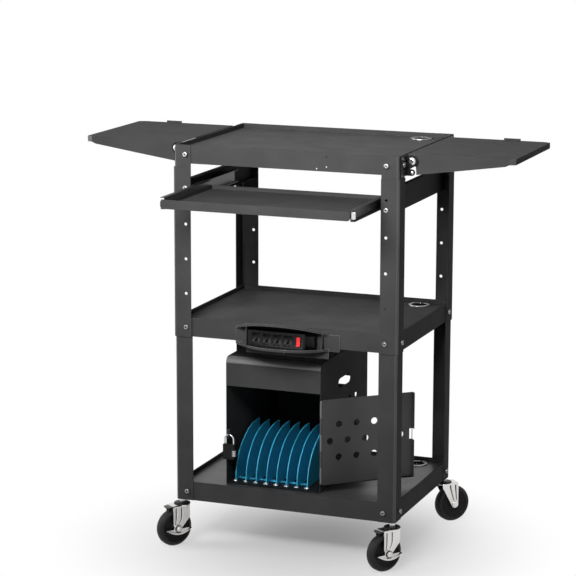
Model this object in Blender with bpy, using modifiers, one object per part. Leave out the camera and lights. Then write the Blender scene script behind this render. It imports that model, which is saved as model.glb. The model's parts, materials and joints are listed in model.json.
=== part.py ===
"""Audio visual cart: steel trolley with three trays, fold-down side leaves, a pull-out keyboard
tray, a locking tablet cabinet, a power strip and four swivel casters. Metres, +Z up, front at -Y.

Every piece is placed in the cart's own frame: X right, Y back, Z up from the foot of the legs.
The empty named cart_frame then lifts that frame onto the wheels and centres it."""

import math

import bmesh
import bpy
from mathutils import Matrix, Vector

# Clearances
FIT = 0.0003
OVERRUN = 0.002
WELD = 0.000002

# Cart as a whole
CART_WIDTH = 0.610
CART_DEPTH = 0.465
TOP_HEIGHT = 0.9474

# Legs
LEG_SHEET = 0.002
LEG_FLANGE = 0.0485
UPPER_LEG_FLANGE = 0.0460
LEG_BEND_RADIUS = 0.006
LEG_BEND_STEPS = 4
OUTER_LEG_BELOW_TRAY = 0.0017
OUTER_LEG_DROP = 0.0574
UPPER_LEG_LENGTH = 0.1524
HOLE_INSET = 0.032
LEG_HOLE_RADIUS = 0.0042
OPEN_HOLE_RISE = 0.0645
OPEN_HOLE_DROP = 0.0703
OPEN_HOLE_COUNT = 3
SUPPORT_BOLT_DROP = 0.1356
SUPPORT_BOLT_SPACING = 0.0242
OPEN_SUPPORT_CORNER = "fr"

# Bolts
BOLT_RADIUS = 0.003
BOLT_HEAD_RADIUS = 0.0064
BOLT_HEAD_HEIGHT = 0.003
BOLT_REACH = 0.004
BOLT_SIDES = 8
HEAD_SIDES = 10
BOLT_CLEARANCE = 0.0006

# Trays
TRAY_SHEET = 0.0016
RIM_WIDTH = 0.0042
TRAY_CORNER = 0.005
BOTTOM_TRAY_HEIGHT = 0.050
MIDDLE_TRAY_BOTTOM = 0.444
MIDDLE_TRAY_HEIGHT = 0.050
TOP_TRAY_HEIGHT = 0.048
TOP_RECESS = 0.012
TRAY_RECESS = 0.011
TOP_SIDE_APRON = 0.0214
LEG_CORNER_BLOCK = 0.018
LEAF_NOTCH_CLEARANCE = 0.005
APRON_HOLE_RADIUS = 0.002
APRON_HOLE_X = 0.112
APRON_HOLE_LOW_X = 0.0857
APRON_HOLE_HIGH = 0.0363
APRON_HOLE_MIDDLE = 0.0117
APRON_HOLE_LOW = 0.0063

# Cable grommets
GROMMET_INSET_X = 0.080
GROMMET_INSET_Y = 0.0385
GROMMET_RADIUS = 0.029
GROMMET_NECK_RADIUS = 0.025
GROMMET_BORE_RADIUS = 0.021
GROMMET_FLANGE = 0.003
GROMMET_BEVEL = 0.001
GROMMET_DEPTH = 0.012
GROMMET_SEAT = 0.0005
GROMMET_SIDES = 20
RAIL_BOSS_SIDES = 10

# Drop leaves
LEAF_SHEET = 0.0016
LEAF_GAP = 0.0033
LEAF_REACH = 0.281
LEAF_CHAMFER_X = 0.016
LEAF_CHAMFER_Y = 0.008
LEAF_LIP = 0.015
PIVOT_OUT = 0.0161
PIVOT_BELOW_TOP = 0.017
NOSE_RADIUS = 0.012
SKIRT_ROOT_OUT = 0.009
SKIRT_ROOT_DROP = 0.0524
SKIRT_MID_INSET = 0.149
SKIRT_MID_DROP = 0.0374
SKIRT_END_INSET = 0.026
SKIRT_END_DROP = 0.0194
LEAF_TAB_INSET = 0.126
LEAF_TAB_LENGTH = 0.045
LEAF_TAB_HEIGHT = 0.005

# Leaf brackets and their pivots
EAR_SHEET = 0.002
EAR_SETBACK = 0.0245
EAR_LEAF_GAP = 0.006
EAR_LOBE_RADIUS = 0.015
HOOK_LOBE_RADIUS = 0.0085
HOOK_PIN_DROP = 0.0458
HOOK_PIN_RADIUS = 0.003
HOOK_PIN_HEAD_RADIUS = 0.005
HOOK_PIN_HEAD = 0.002
HOOK_PIN_GAP = 0.0012
EAR_BASE_INSET = 0.0105
EAR_NECK_WIDTH = 0.010
PIVOT_RADIUS = 0.004
PIVOT_HOLE_RADIUS = 0.0046
PIVOT_HEAD_RADIUS = 0.010
PIVOT_HEAD_HEIGHT = 0.005
HEAD_CROWN_SHARE = 0.6
PIVOT_COLLAR_RADIUS = 0.007
PIVOT_NUT_RADIUS = 0.008
PIVOT_NUT_HEIGHT = 0.005
PIVOT_SIDES = 12

# Keyboard tray, its slides and the channels that carry them
CHANNEL_INSET = 0.025
CHANNEL_SHEET = 0.0016
CHANNEL_BELOW_BOLT = 0.0153
CHANNEL_HEIGHT = 0.062
CHANNEL_FLANGE = 0.015
CHANNEL_TAB_WIDTH = 0.0208
RAIL_SHEET = 0.0016
RAIL_LENGTH = 0.300
RAIL_HEIGHT = 0.034
RAIL_RISE = 0.013
RAIL_DEPTH = 0.0126
RAIL_BOSS_RADIUS = 0.009
RAIL_BOSS_INSET = 0.055
RAIL_FRONT_INSET = 0.0045
SLIDE_SPACE = 0.034
INNER_RAIL_DEPTH = 0.0117
KEY_TRAY_PULLED_OUT = 0.199
KEY_TRAY_SHEET = 0.0016
KEY_TRAY_RISE = 0.0089
KEY_TRAY_WALL = 0.010
KEY_LIP_DROP = 0.0059
KEY_LIP_HEIGHT = 0.0235
KEY_LIP_OVERLAP = 0.012
KEY_LIP_CORNER = 0.008

# Power strip and the bowed bracket that holds it
STRIP_PLATE_LEFT = -0.135
STRIP_PLATE_RIGHT = 0.1515
STRIP_PLATE_BELOW_TRAY = 0.0075
STRIP_PLATE_HEIGHT = 0.0440
STRIP_SHEET = 0.0016
STRIP_STUDS = (-0.117, 0.137)
STRIP_STUD_RISE = 0.0235
BOW_LEFT = -0.133
BOW_RIGHT = 0.122
BOW_OUT = 0.056
BOW_STEPS = 16
BOW_POWER = 2.4
BOW_LIP_DEPTH = 0.0022
LAST_DEPTH_SHARE = 0.5
HOOD_BACK_RISE = 0.0465
HOOD_FRONT_RISE = 0.024
LIP_RISE = 0.005
CHEEK_LEFT = -0.0925
CHEEK_RIGHT = 0.1085
STRIP_LEFT = -0.0895
STRIP_LENGTH = 0.156
STRIP_HEIGHT = 0.0440
STRIP_DEPTH = 0.028
OUTLET_COUNT = 4
OUTLET_PITCH = 0.0290
OUTLET_FIRST = 0.0230
OUTLET_WIDTH = 0.024
OUTLET_HEIGHT = 0.030
OUTLET_RECESS = 0.001
BLADE_WIDTH = 0.0018
BLADE_HEIGHT = 0.0075
BLADE_SPACING = 0.0127
BLADE_RAISE = 0.004
BLADE_DEPTH = 0.010
EARTH_RADIUS = 0.0026
EARTH_DROP = 0.0065
SWITCH_FROM_LEFT = 0.139
SWITCH_WIDTH = 0.0095
SWITCH_HEIGHT = 0.0240
SWITCH_POCKET = 0.010
SWITCH_PIVOT_DEPTH = 0.0042
SWITCH_PROUD = 0.0022
SWITCH_SWAY = 0.0010
SWITCH_HALF_TILT = math.radians(7.0)
ROCKER_TAIL_SHARE = 0.7
ROCKER_DISH_SHARE = 0.7
ROCKER_WAIST_SHARE = 0.95
INLET_LENGTH = 0.024
INLET_HEIGHT = 0.030
INLET_DEPTH = 0.022
INLET_POCKET = 0.015
INLET_WALL = 0.003
STRIP_KNOB_RADIUS = 0.008
STRIP_KNOB_LENGTH = 0.008
STRIP_KNOB_DROP = 0.011
STRIP_KNOB_X = -0.005
STRIP_SKIRT_LEFT = -0.105
STRIP_SKIRT_RIGHT = 0.122
STRIP_SKIRT_DROP = 0.020

# Tablet cabinet on the bottom tray
CABINET_LEFT = -0.187
CABINET_RIGHT = 0.0785
CABINET_FRONT = -0.173
CABINET_BACK = 0.196
CABINET_TOP = 0.384
CABINET_SHEET = 0.0015
CABINET_CORNER = 0.016
CORNER_STEPS = 5
HEADER_HEIGHT = 0.078
CABINET_FLOOR_LIP = 0.0039
FLOOR_SLOTS = 8
FLOOR_SLOT_FIRST = 0.018
FLOOR_SLOT_PITCH = 0.029
FLOOR_SLOT_BACK = 0.020
FLOOR_SLOT_LENGTH = 0.012
FLOOR_SLOT_WIDTH = 0.008
FLOOR_SLOT_STEPS = 3
VENT_RADIUS = 0.009
VENT_PITCH = 0.050
VENT_ROW_PITCH = 0.044
VENT_ROWS = 3
STAGGER_EVERY = 2
VENT_SIDES = 10
SIDE_VENT_DROP = 0.139
SIDE_VENT_BACK = 0.093
SIDE_VENT_COUNT = 6
SIDE_SLOT_BACK = 0.185
SIDE_SLOT_DROP = 0.082
SIDE_SLOT_LENGTH = 0.095
SIDE_SLOT_HEIGHT = 0.025
BACK_SLOT_INSET = 0.0635
BACK_SLOT_DROP = 0.128
BACK_SLOT_LENGTH = 0.070
BACK_VENT_INSET = 0.0325
BACK_VENT_DROP = 0.169

# Cabinet door, hinge and padlock staple
DOOR_NARROWER = 0.004
DOOR_BOTTOM = 0.062
DOOR_BELOW_HEADER = 0.015
DOOR_SHEET = 0.0015
DOOR_FLANGE = 0.012
DOOR_OPEN_HEADING = math.radians(42.5)
HINGE_OUT = 0.0024
HINGE_RADIUS = 0.0030
HINGE_BORE = 0.0018
HINGE_PIN_RADIUS = 0.0015
HINGE_KNUCKLES = 5
HINGE_INSET = 0.004
HINGE_TAB_START = 0.0023
HINGE_SIDES = 12
HINGE_LEAF = 0.0012
HINGE_LEAF_LENGTH = 0.014
DOOR_VENT_FIRST = 0.0255
VENT_COUNT = 5
DOOR_VENT_RISE = 0.073
DOOR_SLOT_INSET = 0.0061
DOOR_SLOT_WIDTH = 0.007
DOOR_SLOT_HEIGHT = 0.028
STAPLE_HEIGHT = 0.178
STAPLE_SHEET = 0.002
STAPLE_INSET = 0.0125
STAPLE_REACH = 0.018
STAPLE_BASE = 0.022
STAPLE_NOTCH = 0.030
STAPLE_TALL = 0.020
STAPLE_HOLE_RADIUS = 0.0055
STAPLE_HOLE_INSET = 0.0085

# Padlock
SHACKLE_WIRE = 0.0025
SHACKLE_HALF_SPAN = 0.0105
SHACKLE_RISE = 0.014
SHACKLE_SUNK = 0.012
SHACKLE_HOLE = 0.0028
SHACKLE_ARC_STEPS = 8
LOCK_WIDTH = 0.033
LOCK_DEPTH = 0.013
LOCK_TALL = 0.042
LOCK_BEVEL = 0.002
DIAL_COUNT = 3
DIAL_RADIUS = 0.0045
DIAL_THICK = 0.0035
DIAL_PITCH = 0.005
DIAL_MIDDLE_DROP = 0.024
DIAL_PROUD = 0.0015

# Dividers in the cabinet
FIN_SHEET = 0.003
FIN_DEPTH = 0.150
FIN_HEIGHT = 0.130
FIN_BACK = 0.020
FIN_STEPS = 8
FIN_FRONT = 0.022
FIN_FOOT = 0.002
RACK_BAR_WIDTH = 0.012
RACK_BAR_HEIGHT = 0.002

# Casters
CASTER_HEIGHT = 0.125
STEM_INSET = 0.011
WHEEL_RADIUS = 0.050
WHEEL_WIDTH = 0.028
WHEEL_HUB_WIDTH = 0.032
WHEEL_HUB_RADIUS = 0.012
WHEEL_WEB_WIDTH = 0.016
WHEEL_RIM_RADIUS = 0.038
WHEEL_SHOULDER = 0.006
WHEEL_BORE = 0.0063
WHEEL_STEPS = 20
CASTER_TRAIL = 0.026
FRONT_HEADING = math.radians(-124.0)
REAR_HEADING = math.radians(47.0)
STEM_RADIUS = 0.005
STEM_UP = 0.022
STEM_HOLE_RADIUS = 0.0055
STEM_NUT_RADIUS = 0.009
STEM_NUT_HEIGHT = 0.009
RACE_RADIUS = 0.0220
RACE_HEIGHT = 0.004
CROWN_HEIGHT = 0.0055
CROWN_BACK = 0.012
CROWN_HOLE_RADIUS = 0.0045
KING_PIN_RADIUS = 0.0042
KING_PIN_HEAD_RADIUS = 0.007
KING_PIN_HEAD = 0.003
FORK_SHEET = 0.0025
FORK_GAP = 0.0005
FORK_BOSS_RADIUS = 0.010
FORK_ROUND_STEPS = 6
FORK_ROUND_END = -150
BRAKE_FORK_EXTRA = 0.003
BRAKE_FORK_FOOT = 0.012
FRONT_HIP_DROP = 0.035
REAR_HIP_DROP = 0.012
AXLE_RADIUS = 0.0058
AXLE_SIDES = 12
AXLE_HEAD_RADIUS = 0.0085
AXLE_HEAD_HEIGHT = 0.004
SHOE_END = 0.056
SHOE_HALF_WIDTH = 0.013
SHOE_THICK = 0.003
PEDAL_HALF_LENGTH = 0.037
PEDAL_SAG = 0.009
PEDAL_TIP = 0.001
PEDAL_MIDDLE_EXTRA = 0.004
PEDAL_PLATE = 0.003
PEDAL_WIDTH = 0.012
PEDAL_BOSS_RADIUS = 0.0125
PEDAL_BORE = 0.0061
PEDAL_STEPS = 10

# Places that follow from the sizes above
LEG_X = CART_WIDTH / 2
LEG_Y = CART_DEPTH / 2
SLEEVE = LEG_SHEET + FIT
OUTER_LEG_BOTTOM = MIDDLE_TRAY_BOTTOM - OUTER_LEG_BELOW_TRAY
OUTER_LEG_TOP = TOP_HEIGHT - OUTER_LEG_DROP
UPPER_LEG_BOTTOM = TOP_HEIGHT - UPPER_LEG_LENGTH
SUPPORT_BOLT_LOW = TOP_HEIGHT - SUPPORT_BOLT_DROP
SUPPORT_BOLT_HIGH = SUPPORT_BOLT_LOW + SUPPORT_BOLT_SPACING
HOLE_X = LEG_X - HOLE_INSET
HOLE_Y = LEG_Y - HOLE_INSET
TRAY_X = LEG_X - LEG_SHEET - FIT
TRAY_Y = LEG_Y - LEG_SHEET - FIT
TOP_TRAY_BOTTOM = TOP_HEIGHT - TOP_TRAY_HEIGHT
BOTTOM_BOLT = BOTTOM_TRAY_HEIGHT / 2
MIDDLE_BOLT = MIDDLE_TRAY_BOTTOM + MIDDLE_TRAY_HEIGHT / 2
TOP_BOLT = TOP_TRAY_BOTTOM + TOP_TRAY_HEIGHT / 2
MIDDLE_TRAY_TOP = MIDDLE_TRAY_BOTTOM + MIDDLE_TRAY_HEIGHT
OPEN_HOLE_START = MIDDLE_TRAY_TOP + OPEN_HOLE_RISE
HOLE_PITCH = (SUPPORT_BOLT_LOW - OPEN_HOLE_DROP - OPEN_HOLE_START) / (OPEN_HOLE_COUNT - 1)
APRON_HOLES = (
    (APRON_HOLE_X, TOP_TRAY_BOTTOM + APRON_HOLE_HIGH), (APRON_HOLE_X, TOP_TRAY_BOTTOM + APRON_HOLE_MIDDLE),
    (APRON_HOLE_LOW_X, TOP_TRAY_BOTTOM + APRON_HOLE_LOW),
)
GROMMET_X = LEG_X - GROMMET_INSET_X
GROMMET_Y = LEG_Y - GROMMET_INSET_Y
PIVOT_X = LEG_X + PIVOT_OUT
PIVOT_Z = TOP_HEIGHT - PIVOT_BELOW_TOP
EAR_INNER_Y = HOLE_Y - EAR_SETBACK
EAR_BASE_END_Y = LEG_Y - EAR_BASE_INSET
LEAF_HALF_DEPTH = EAR_INNER_Y - EAR_LEAF_GAP
LEAF_NOTCH_HALF = EAR_INNER_Y + LEAF_NOTCH_CLEARANCE
LEAF_INNER_X = LEG_X + LEAF_GAP
LEAF_OUTER_X = LEG_X + LEAF_REACH
SKIRT_ROOT_X = PIVOT_X + SKIRT_ROOT_OUT
SKIRT_MID_X = LEAF_OUTER_X - SKIRT_MID_INSET
SKIRT_END_X = LEAF_OUTER_X - SKIRT_END_INSET
LEAF_TAB_START = LEAF_OUTER_X - LEAF_TAB_INSET
CHANNEL_OUTER_X = LEG_X - CHANNEL_INSET
CHANNEL_TAB_INNER_X = CHANNEL_OUTER_X - CHANNEL_TAB_WIDTH
CHANNEL_BOTTOM = SUPPORT_BOLT_LOW - CHANNEL_BELOW_BOLT
TRAY_HALF_WIDTH = CHANNEL_OUTER_X - SLIDE_SPACE
RAIL_OUTER_X = TRAY_HALF_WIDTH + FIT + INNER_RAIL_DEPTH + RAIL_DEPTH / 2
RAIL_BOTTOM = CHANNEL_BOTTOM + RAIL_RISE
RAIL_CLOSED_FRONT = LEG_Y - RAIL_FRONT_INSET
KEY_TRAY_FRONT = RAIL_CLOSED_FRONT + KEY_TRAY_PULLED_OUT
KEY_TRAY_DECK = RAIL_BOTTOM + KEY_TRAY_RISE
KEY_LIP_BOTTOM = KEY_TRAY_DECK - KEY_LIP_DROP
KEY_LIP_LEFT = TRAY_HALF_WIDTH + KEY_LIP_OVERLAP
STRIP_PLATE_BOTTOM = MIDDLE_TRAY_BOTTOM - STRIP_PLATE_BELOW_TRAY
STRIP_STUD_Z = STRIP_PLATE_BOTTOM + STRIP_STUD_RISE
HEADER_BOTTOM = CABINET_TOP - HEADER_HEIGHT
SIDE_VENT_TOP = CABINET_TOP - SIDE_VENT_DROP
SIDE_VENT_LAST_Y = CABINET_BACK - SIDE_VENT_BACK
SIDE_SLOT_Y = CABINET_BACK - SIDE_SLOT_BACK
SIDE_SLOT_Z = CABINET_TOP - SIDE_SLOT_DROP
BACK_SLOT_X = CABINET_RIGHT - BACK_SLOT_INSET
BACK_SLOT_Z = CABINET_TOP - BACK_SLOT_DROP
BACK_VENT_X = CABINET_RIGHT - BACK_VENT_INSET
BACK_VENT_Z = CABINET_TOP - BACK_VENT_DROP
DOOR_WIDTH = CABINET_RIGHT - CABINET_LEFT - DOOR_NARROWER
DOOR_HEIGHT = HEADER_BOTTOM - DOOR_BELOW_HEADER - DOOR_BOTTOM
DOOR_VENT_LOW = DOOR_BOTTOM + DOOR_VENT_RISE
DOOR_SLOT_CENTRE = DOOR_WIDTH - DOOR_SLOT_INSET
HINGE_X = CABINET_RIGHT + HINGE_OUT
HINGE_Y = CABINET_FRONT - HINGE_OUT
STAPLE_X = CABINET_LEFT + STAPLE_INSET
BOTTOM_DECK = BOTTOM_TRAY_HEIGHT - TRAY_RECESS
STEM_X = LEG_X - STEM_INSET
STEM_Y = LEG_Y - STEM_INSET
AXLE_Z = WHEEL_RADIUS - CASTER_HEIGHT

# Colours: base colour, roughness and metallic value of each finish
BLACK_COAT = ((0.020, 0.020, 0.022), 0.42, 0.2)
ZINC = ((0.72, 0.72, 0.72), 0.28, 1.0)
CHROME = ((0.80, 0.80, 0.80), 0.12, 1.0)
RUBBER = ((0.012, 0.012, 0.013), 0.6, 0.0)
BLACK_PLASTIC = ((0.014, 0.014, 0.015), 0.35, 0.0)
RED_PLASTIC = ((0.62, 0.03, 0.04), 0.3, 0.0)
BLUE_PLASTIC = ((0.02, 0.20, 0.42), 0.4, 0.0)

# Scene and collections
for old in list(bpy.data.objects):
    bpy.data.objects.remove(old, do_unlink=True)
parts = bpy.data.collections.new("audio_visual_cart")
helpers = bpy.data.collections.new("cutters")
bpy.context.scene.collection.children.link(parts)
bpy.context.scene.collection.children.link(helpers)


# Frames: an empty stands on each joint's axis
def frame_at(name, place, parent=None, turn=(0, 0, 0)):
    """An empty at a place in its parent's frame, turned by Euler angles."""
    empty = bpy.data.objects.new(name, None)
    parts.objects.link(empty)
    empty.location = place
    empty.rotation_euler = turn
    empty.parent = parent
    return empty


cart = frame_at("cart_frame", (0, 0, CASTER_HEIGHT))


# Shapes: each is a bmesh, so several can be put together before they become an object
def box(low, high):
    """A block between two corners, given in any order."""
    bm = bmesh.new()
    bmesh.ops.create_cube(bm, size=1)
    size = [abs(b - a) for a, b in zip(low, high)]
    middle = [(a + b) / 2 for a, b in zip(low, high)]
    bmesh.ops.scale(bm, vec=size, verts=bm.verts)
    bmesh.ops.translate(bm, vec=middle, verts=bm.verts)
    return bm


def rod(start, end, radius, sides, end_radius=None):
    """A round bar from start to end, or a cone where end_radius differs."""
    start, end = Vector(start), Vector(end)
    along = end - start
    turn = along.to_track_quat("Z", "Y").to_matrix().to_4x4()
    bm = bmesh.new()
    bmesh.ops.create_cone(
        bm, cap_ends=True, segments=sides, radius1=radius,
        radius2=radius if end_radius is None else end_radius, depth=along.length,
        matrix=Matrix.Translation((start + end) / 2) @ turn,
    )
    return bm


def from_curve(curve):
    """The solid that a curve makes, with its caps welded on."""
    holder = bpy.data.objects.new("outline", curve)
    helpers.objects.link(holder)
    graph = bpy.context.evaluated_depsgraph_get()
    mesh = bpy.data.meshes.new_from_object(holder.evaluated_get(graph))
    bm = bmesh.new()
    bm.from_mesh(mesh)
    bmesh.ops.remove_doubles(bm, verts=bm.verts, dist=WELD)
    bpy.data.objects.remove(holder)
    bpy.data.curves.remove(curve)
    bpy.data.meshes.remove(mesh)
    return bm


def flat(outline, thickness, holes=()):
    """A flat sheet with an outline and holes, centred on the XY plane: a filled, extruded curve."""
    curve = bpy.data.curves.new("outline", "CURVE")
    curve.dimensions = "2D"
    curve.fill_mode = "BOTH"
    curve.extrude = thickness / 2
    for loop in (outline, *holes):
        spline = curve.splines.new("POLY")
        spline.points.add(len(loop) - 1)
        spline.use_cyclic_u = True
        for point, (x, y) in zip(spline.points, loop):
            point.co = (x, y, 0, 1)
    return from_curve(curve)


TO_XZ = Matrix(((1, 0, 0, 0), (0, 0, -1, 0), (0, 1, 0, 0), (0, 0, 0, 1)))
TO_YZ = Matrix(((0, 0, 1, 0), (1, 0, 0, 0), (0, 1, 0, 0), (0, 0, 0, 1)))


def sheet_xy(outline, z_low, z_high, holes=()):
    """The outline in X and Y, as a slab from z_low to z_high."""
    bm = flat(outline, abs(z_high - z_low), holes)
    bmesh.ops.translate(bm, vec=(0, 0, (z_low + z_high) / 2), verts=bm.verts)
    return bm


def sheet_xz(outline, y_low, y_high, holes=()):
    """The outline in X and Z, as a slab from y_low to y_high."""
    bm = flat(outline, abs(y_high - y_low), holes)
    bmesh.ops.transform(bm, matrix=TO_XZ, verts=bm.verts)
    bmesh.ops.translate(bm, vec=(0, (y_low + y_high) / 2, 0), verts=bm.verts)
    return bm


def sheet_yz(outline, x_low, x_high, holes=()):
    """The outline in Y and Z, as a slab from x_low to x_high."""
    bm = flat(outline, abs(x_high - x_low), holes)
    bmesh.ops.transform(bm, matrix=TO_YZ, verts=bm.verts)
    bmesh.ops.translate(bm, vec=((x_low + x_high) / 2, 0, 0), verts=bm.verts)
    return bm


def arc(cx, cy, radius, start, end, steps):
    """Points on a circle from one angle to another, in degrees, both ends included."""
    turns = [math.radians(start + (end - start) * i / steps) for i in range(steps + 1)]
    return [(cx + radius * math.cos(t), cy + radius * math.sin(t)) for t in turns]


def ring(cx, cy, radius, sides):
    """A closed circle of points."""
    return arc(cx, cy, radius, 0, 360, sides)[:-1]


def turned_shape(profile, steps, matrix):
    """A solid of revolution about a matrix's Z axis, from an open profile that ends on the axis."""
    holder = screwed("turned", profile, False, steps)
    helpers.objects.link(holder)
    graph = bpy.context.evaluated_depsgraph_get()
    mesh = bpy.data.meshes.new_from_object(holder.evaluated_get(graph))
    bm = bmesh.new()
    bm.from_mesh(mesh)
    bmesh.ops.transform(bm, matrix=matrix, verts=bm.verts)
    base = holder.data
    bpy.data.objects.remove(holder)
    bpy.data.meshes.remove(base)
    bpy.data.meshes.remove(mesh)
    return bm


def screwed(name, profile, closed, steps):
    """An object that turns a profile of (radius, height) points about Z with a Screw modifier."""
    mesh = bpy.data.meshes.new(name)
    count = len(profile)
    edges = [(i, (i + 1) % count) for i in range(count if closed else count - 1)]
    mesh.from_pydata([(r, 0, z) for r, z in profile], edges, [])
    obj = bpy.data.objects.new(name, mesh)
    screw = obj.modifiers.new("Turn", "SCREW")
    screw.steps = steps
    screw.render_steps = steps
    screw.use_merge_vertices = True
    screw.merge_threshold = WELD
    screw.use_smooth_shade = False
    return obj


def along_axis(start, axis):
    """A matrix that stands at start with its Z axis along the given direction."""
    turn = Vector(axis).to_track_quat("Z", "Y").to_matrix().to_4x4()
    return Matrix.Translation(start) @ turn


def together(*shapes):
    """Several shapes as one mesh of separate closed bodies, for cutting or joining."""
    bm = bmesh.new()
    for shape in shapes:
        mesh = bpy.data.meshes.new("shape")
        shape.to_mesh(mesh)
        shape.free()
        bm.from_mesh(mesh)
        bpy.data.meshes.remove(mesh)
    return bm


# Objects, materials and Boolean work
def finish(name, look):
    """A material of a piece's own, with its colour, roughness and metallic value."""
    colour, roughness, metallic = look
    material = bpy.data.materials.new(name)
    material.use_nodes = True
    shader = material.node_tree.nodes["Principled BSDF"]
    shader.inputs["Base Color"].default_value = (*colour, 1)
    shader.inputs["Roughness"].default_value = roughness
    shader.inputs["Metallic"].default_value = metallic
    material.diffuse_color = (*colour, 1)
    return material


def in_frame(obj, frame):
    """Hangs an object on a frame. Upright frames keep the cart's own coordinates in its mesh."""
    obj.parent = frame
    if frame is not cart and frame.parent is cart and not any(frame.rotation_euler):
        obj.location = -frame.location


def piece(name, shape, look, frame=None):
    """A shape as a finished object of the cart."""
    bmesh.ops.recalc_face_normals(shape, faces=shape.faces)
    mesh = bpy.data.meshes.new(name)
    shape.to_mesh(mesh)
    shape.free()
    mesh.materials.append(finish(name, look))
    mesh.shade_smooth()
    mesh.set_sharp_from_angle(angle=SMOOTH_ANGLE)
    obj = bpy.data.objects.new(name, mesh)
    parts.objects.link(obj)
    in_frame(obj, frame or cart)
    return obj


SMOOTH_ANGLE = math.radians(32.0)


ROBUST = "MANIFOLD"  # the solver for the few pieces that the exact one leaves with open edges


def work(obj, operation, *shapes, solver="EXACT"):
    """Cuts, joins or intersects an object with shapes in the same frame, closed and apart."""
    shape = together(*shapes)
    bmesh.ops.recalc_face_normals(shape, faces=shape.faces)
    mesh = bpy.data.meshes.new(obj.name + "_tool")
    shape.to_mesh(mesh)
    shape.free()
    tool = bpy.data.objects.new(f"{obj.name}_{operation.lower()}_{len(obj.modifiers)}", mesh)
    helpers.objects.link(tool)
    tool.parent = obj.parent
    tool.location = obj.location
    tool.hide_render = True
    tool.display_type = "WIRE"
    modifier = obj.modifiers.new(operation.title(), "BOOLEAN")
    modifier.operation = operation
    modifier.solver = solver
    modifier.object = tool
    return obj


def cut(obj, *shapes, solver="EXACT"):
    return work(obj, "DIFFERENCE", *shapes, solver=solver)


def join(obj, *shapes, solver="EXACT"):
    return work(obj, "UNION", *shapes, solver=solver)


def turned(name, profile, steps, look, frame, matrix, closed=True):
    """A round piece with its Screw modifier kept: its profile is a closed loop, or ends on the axis."""
    obj = screwed(name, profile, closed, steps)
    obj.data.materials.append(finish(name, look))
    parts.objects.link(obj)
    obj.parent = frame
    obj.matrix_local = matrix
    return obj


CORNERS = {"fl": (-1, -1), "fr": (1, -1), "rl": (-1, 1), "rr": (1, 1)}
SIDES = {"left": -1, "right": 1}


# Bolts: a flanged head outside, a shank through the sheets that it clamps
def stud(face, axis, reach):
    """A bolt whose head stands on the point face and whose shank runs reach back from it."""
    profile = [
        (0, BOLT_HEAD_HEIGHT), (BOLT_HEAD_RADIUS, BOLT_HEAD_HEIGHT), (BOLT_HEAD_RADIUS, -FIT),
        (BOLT_RADIUS, -FIT), (BOLT_RADIUS, -reach), (0, -reach),
    ]
    return turned_shape(profile, BOLT_SIDES, along_axis(face, axis))


def bolt_y(x, z, face, way):
    """A bolt through a front or rear flange whose outer face is at y = face, and the apron behind."""
    return stud((x, face, z), (0, way, 0), abs(face) - TRAY_Y + TRAY_SHEET + BOLT_REACH)


def bolt_x(y, z, face, way):
    """A bolt through a side flange whose outer face is at x = face, and the apron behind."""
    return stud((face, y, z), (way, 0, 0), abs(face) - TRAY_X + TRAY_SHEET + BOLT_REACH)


def hole_y(x, z, face, radius):
    """A cutter across a front or rear wall near y = face."""
    return rod((x, face - LEG_FLANGE / 2, z), (x, face + LEG_FLANGE / 2, z), radius, BOLT_SIDES)


def hole_x(y, z, face, radius):
    """A cutter across a side wall near x = face."""
    return rod((face - LEG_FLANGE / 2, y, z), (face + LEG_FLANGE / 2, y, z), radius, BOLT_SIDES)


BOLT_HOLE = BOLT_RADIUS + BOLT_CLEARANCE


# Legs: folded angles in three overlapping lengths, bolted through at each tray
def angle_outline(sx, sy, x, y, flange):
    """The L section of a leg whose outer faces meet at the corner (x, y), with a rounded bend."""
    inner = LEG_BEND_RADIUS - LEG_SHEET
    bend = arc(-LEG_BEND_RADIUS, -LEG_BEND_RADIUS, LEG_BEND_RADIUS, 90, 0, LEG_BEND_STEPS)
    back = arc(-LEG_BEND_RADIUS, -LEG_BEND_RADIUS, inner, 0, 90, LEG_BEND_STEPS)
    points = [(-flange, 0), *bend, (0, -flange), (-LEG_SHEET, -flange), *back, (-flange, -LEG_SHEET)]
    return [(sx * (x + px), sy * (y + py)) for px, py in points]


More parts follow.
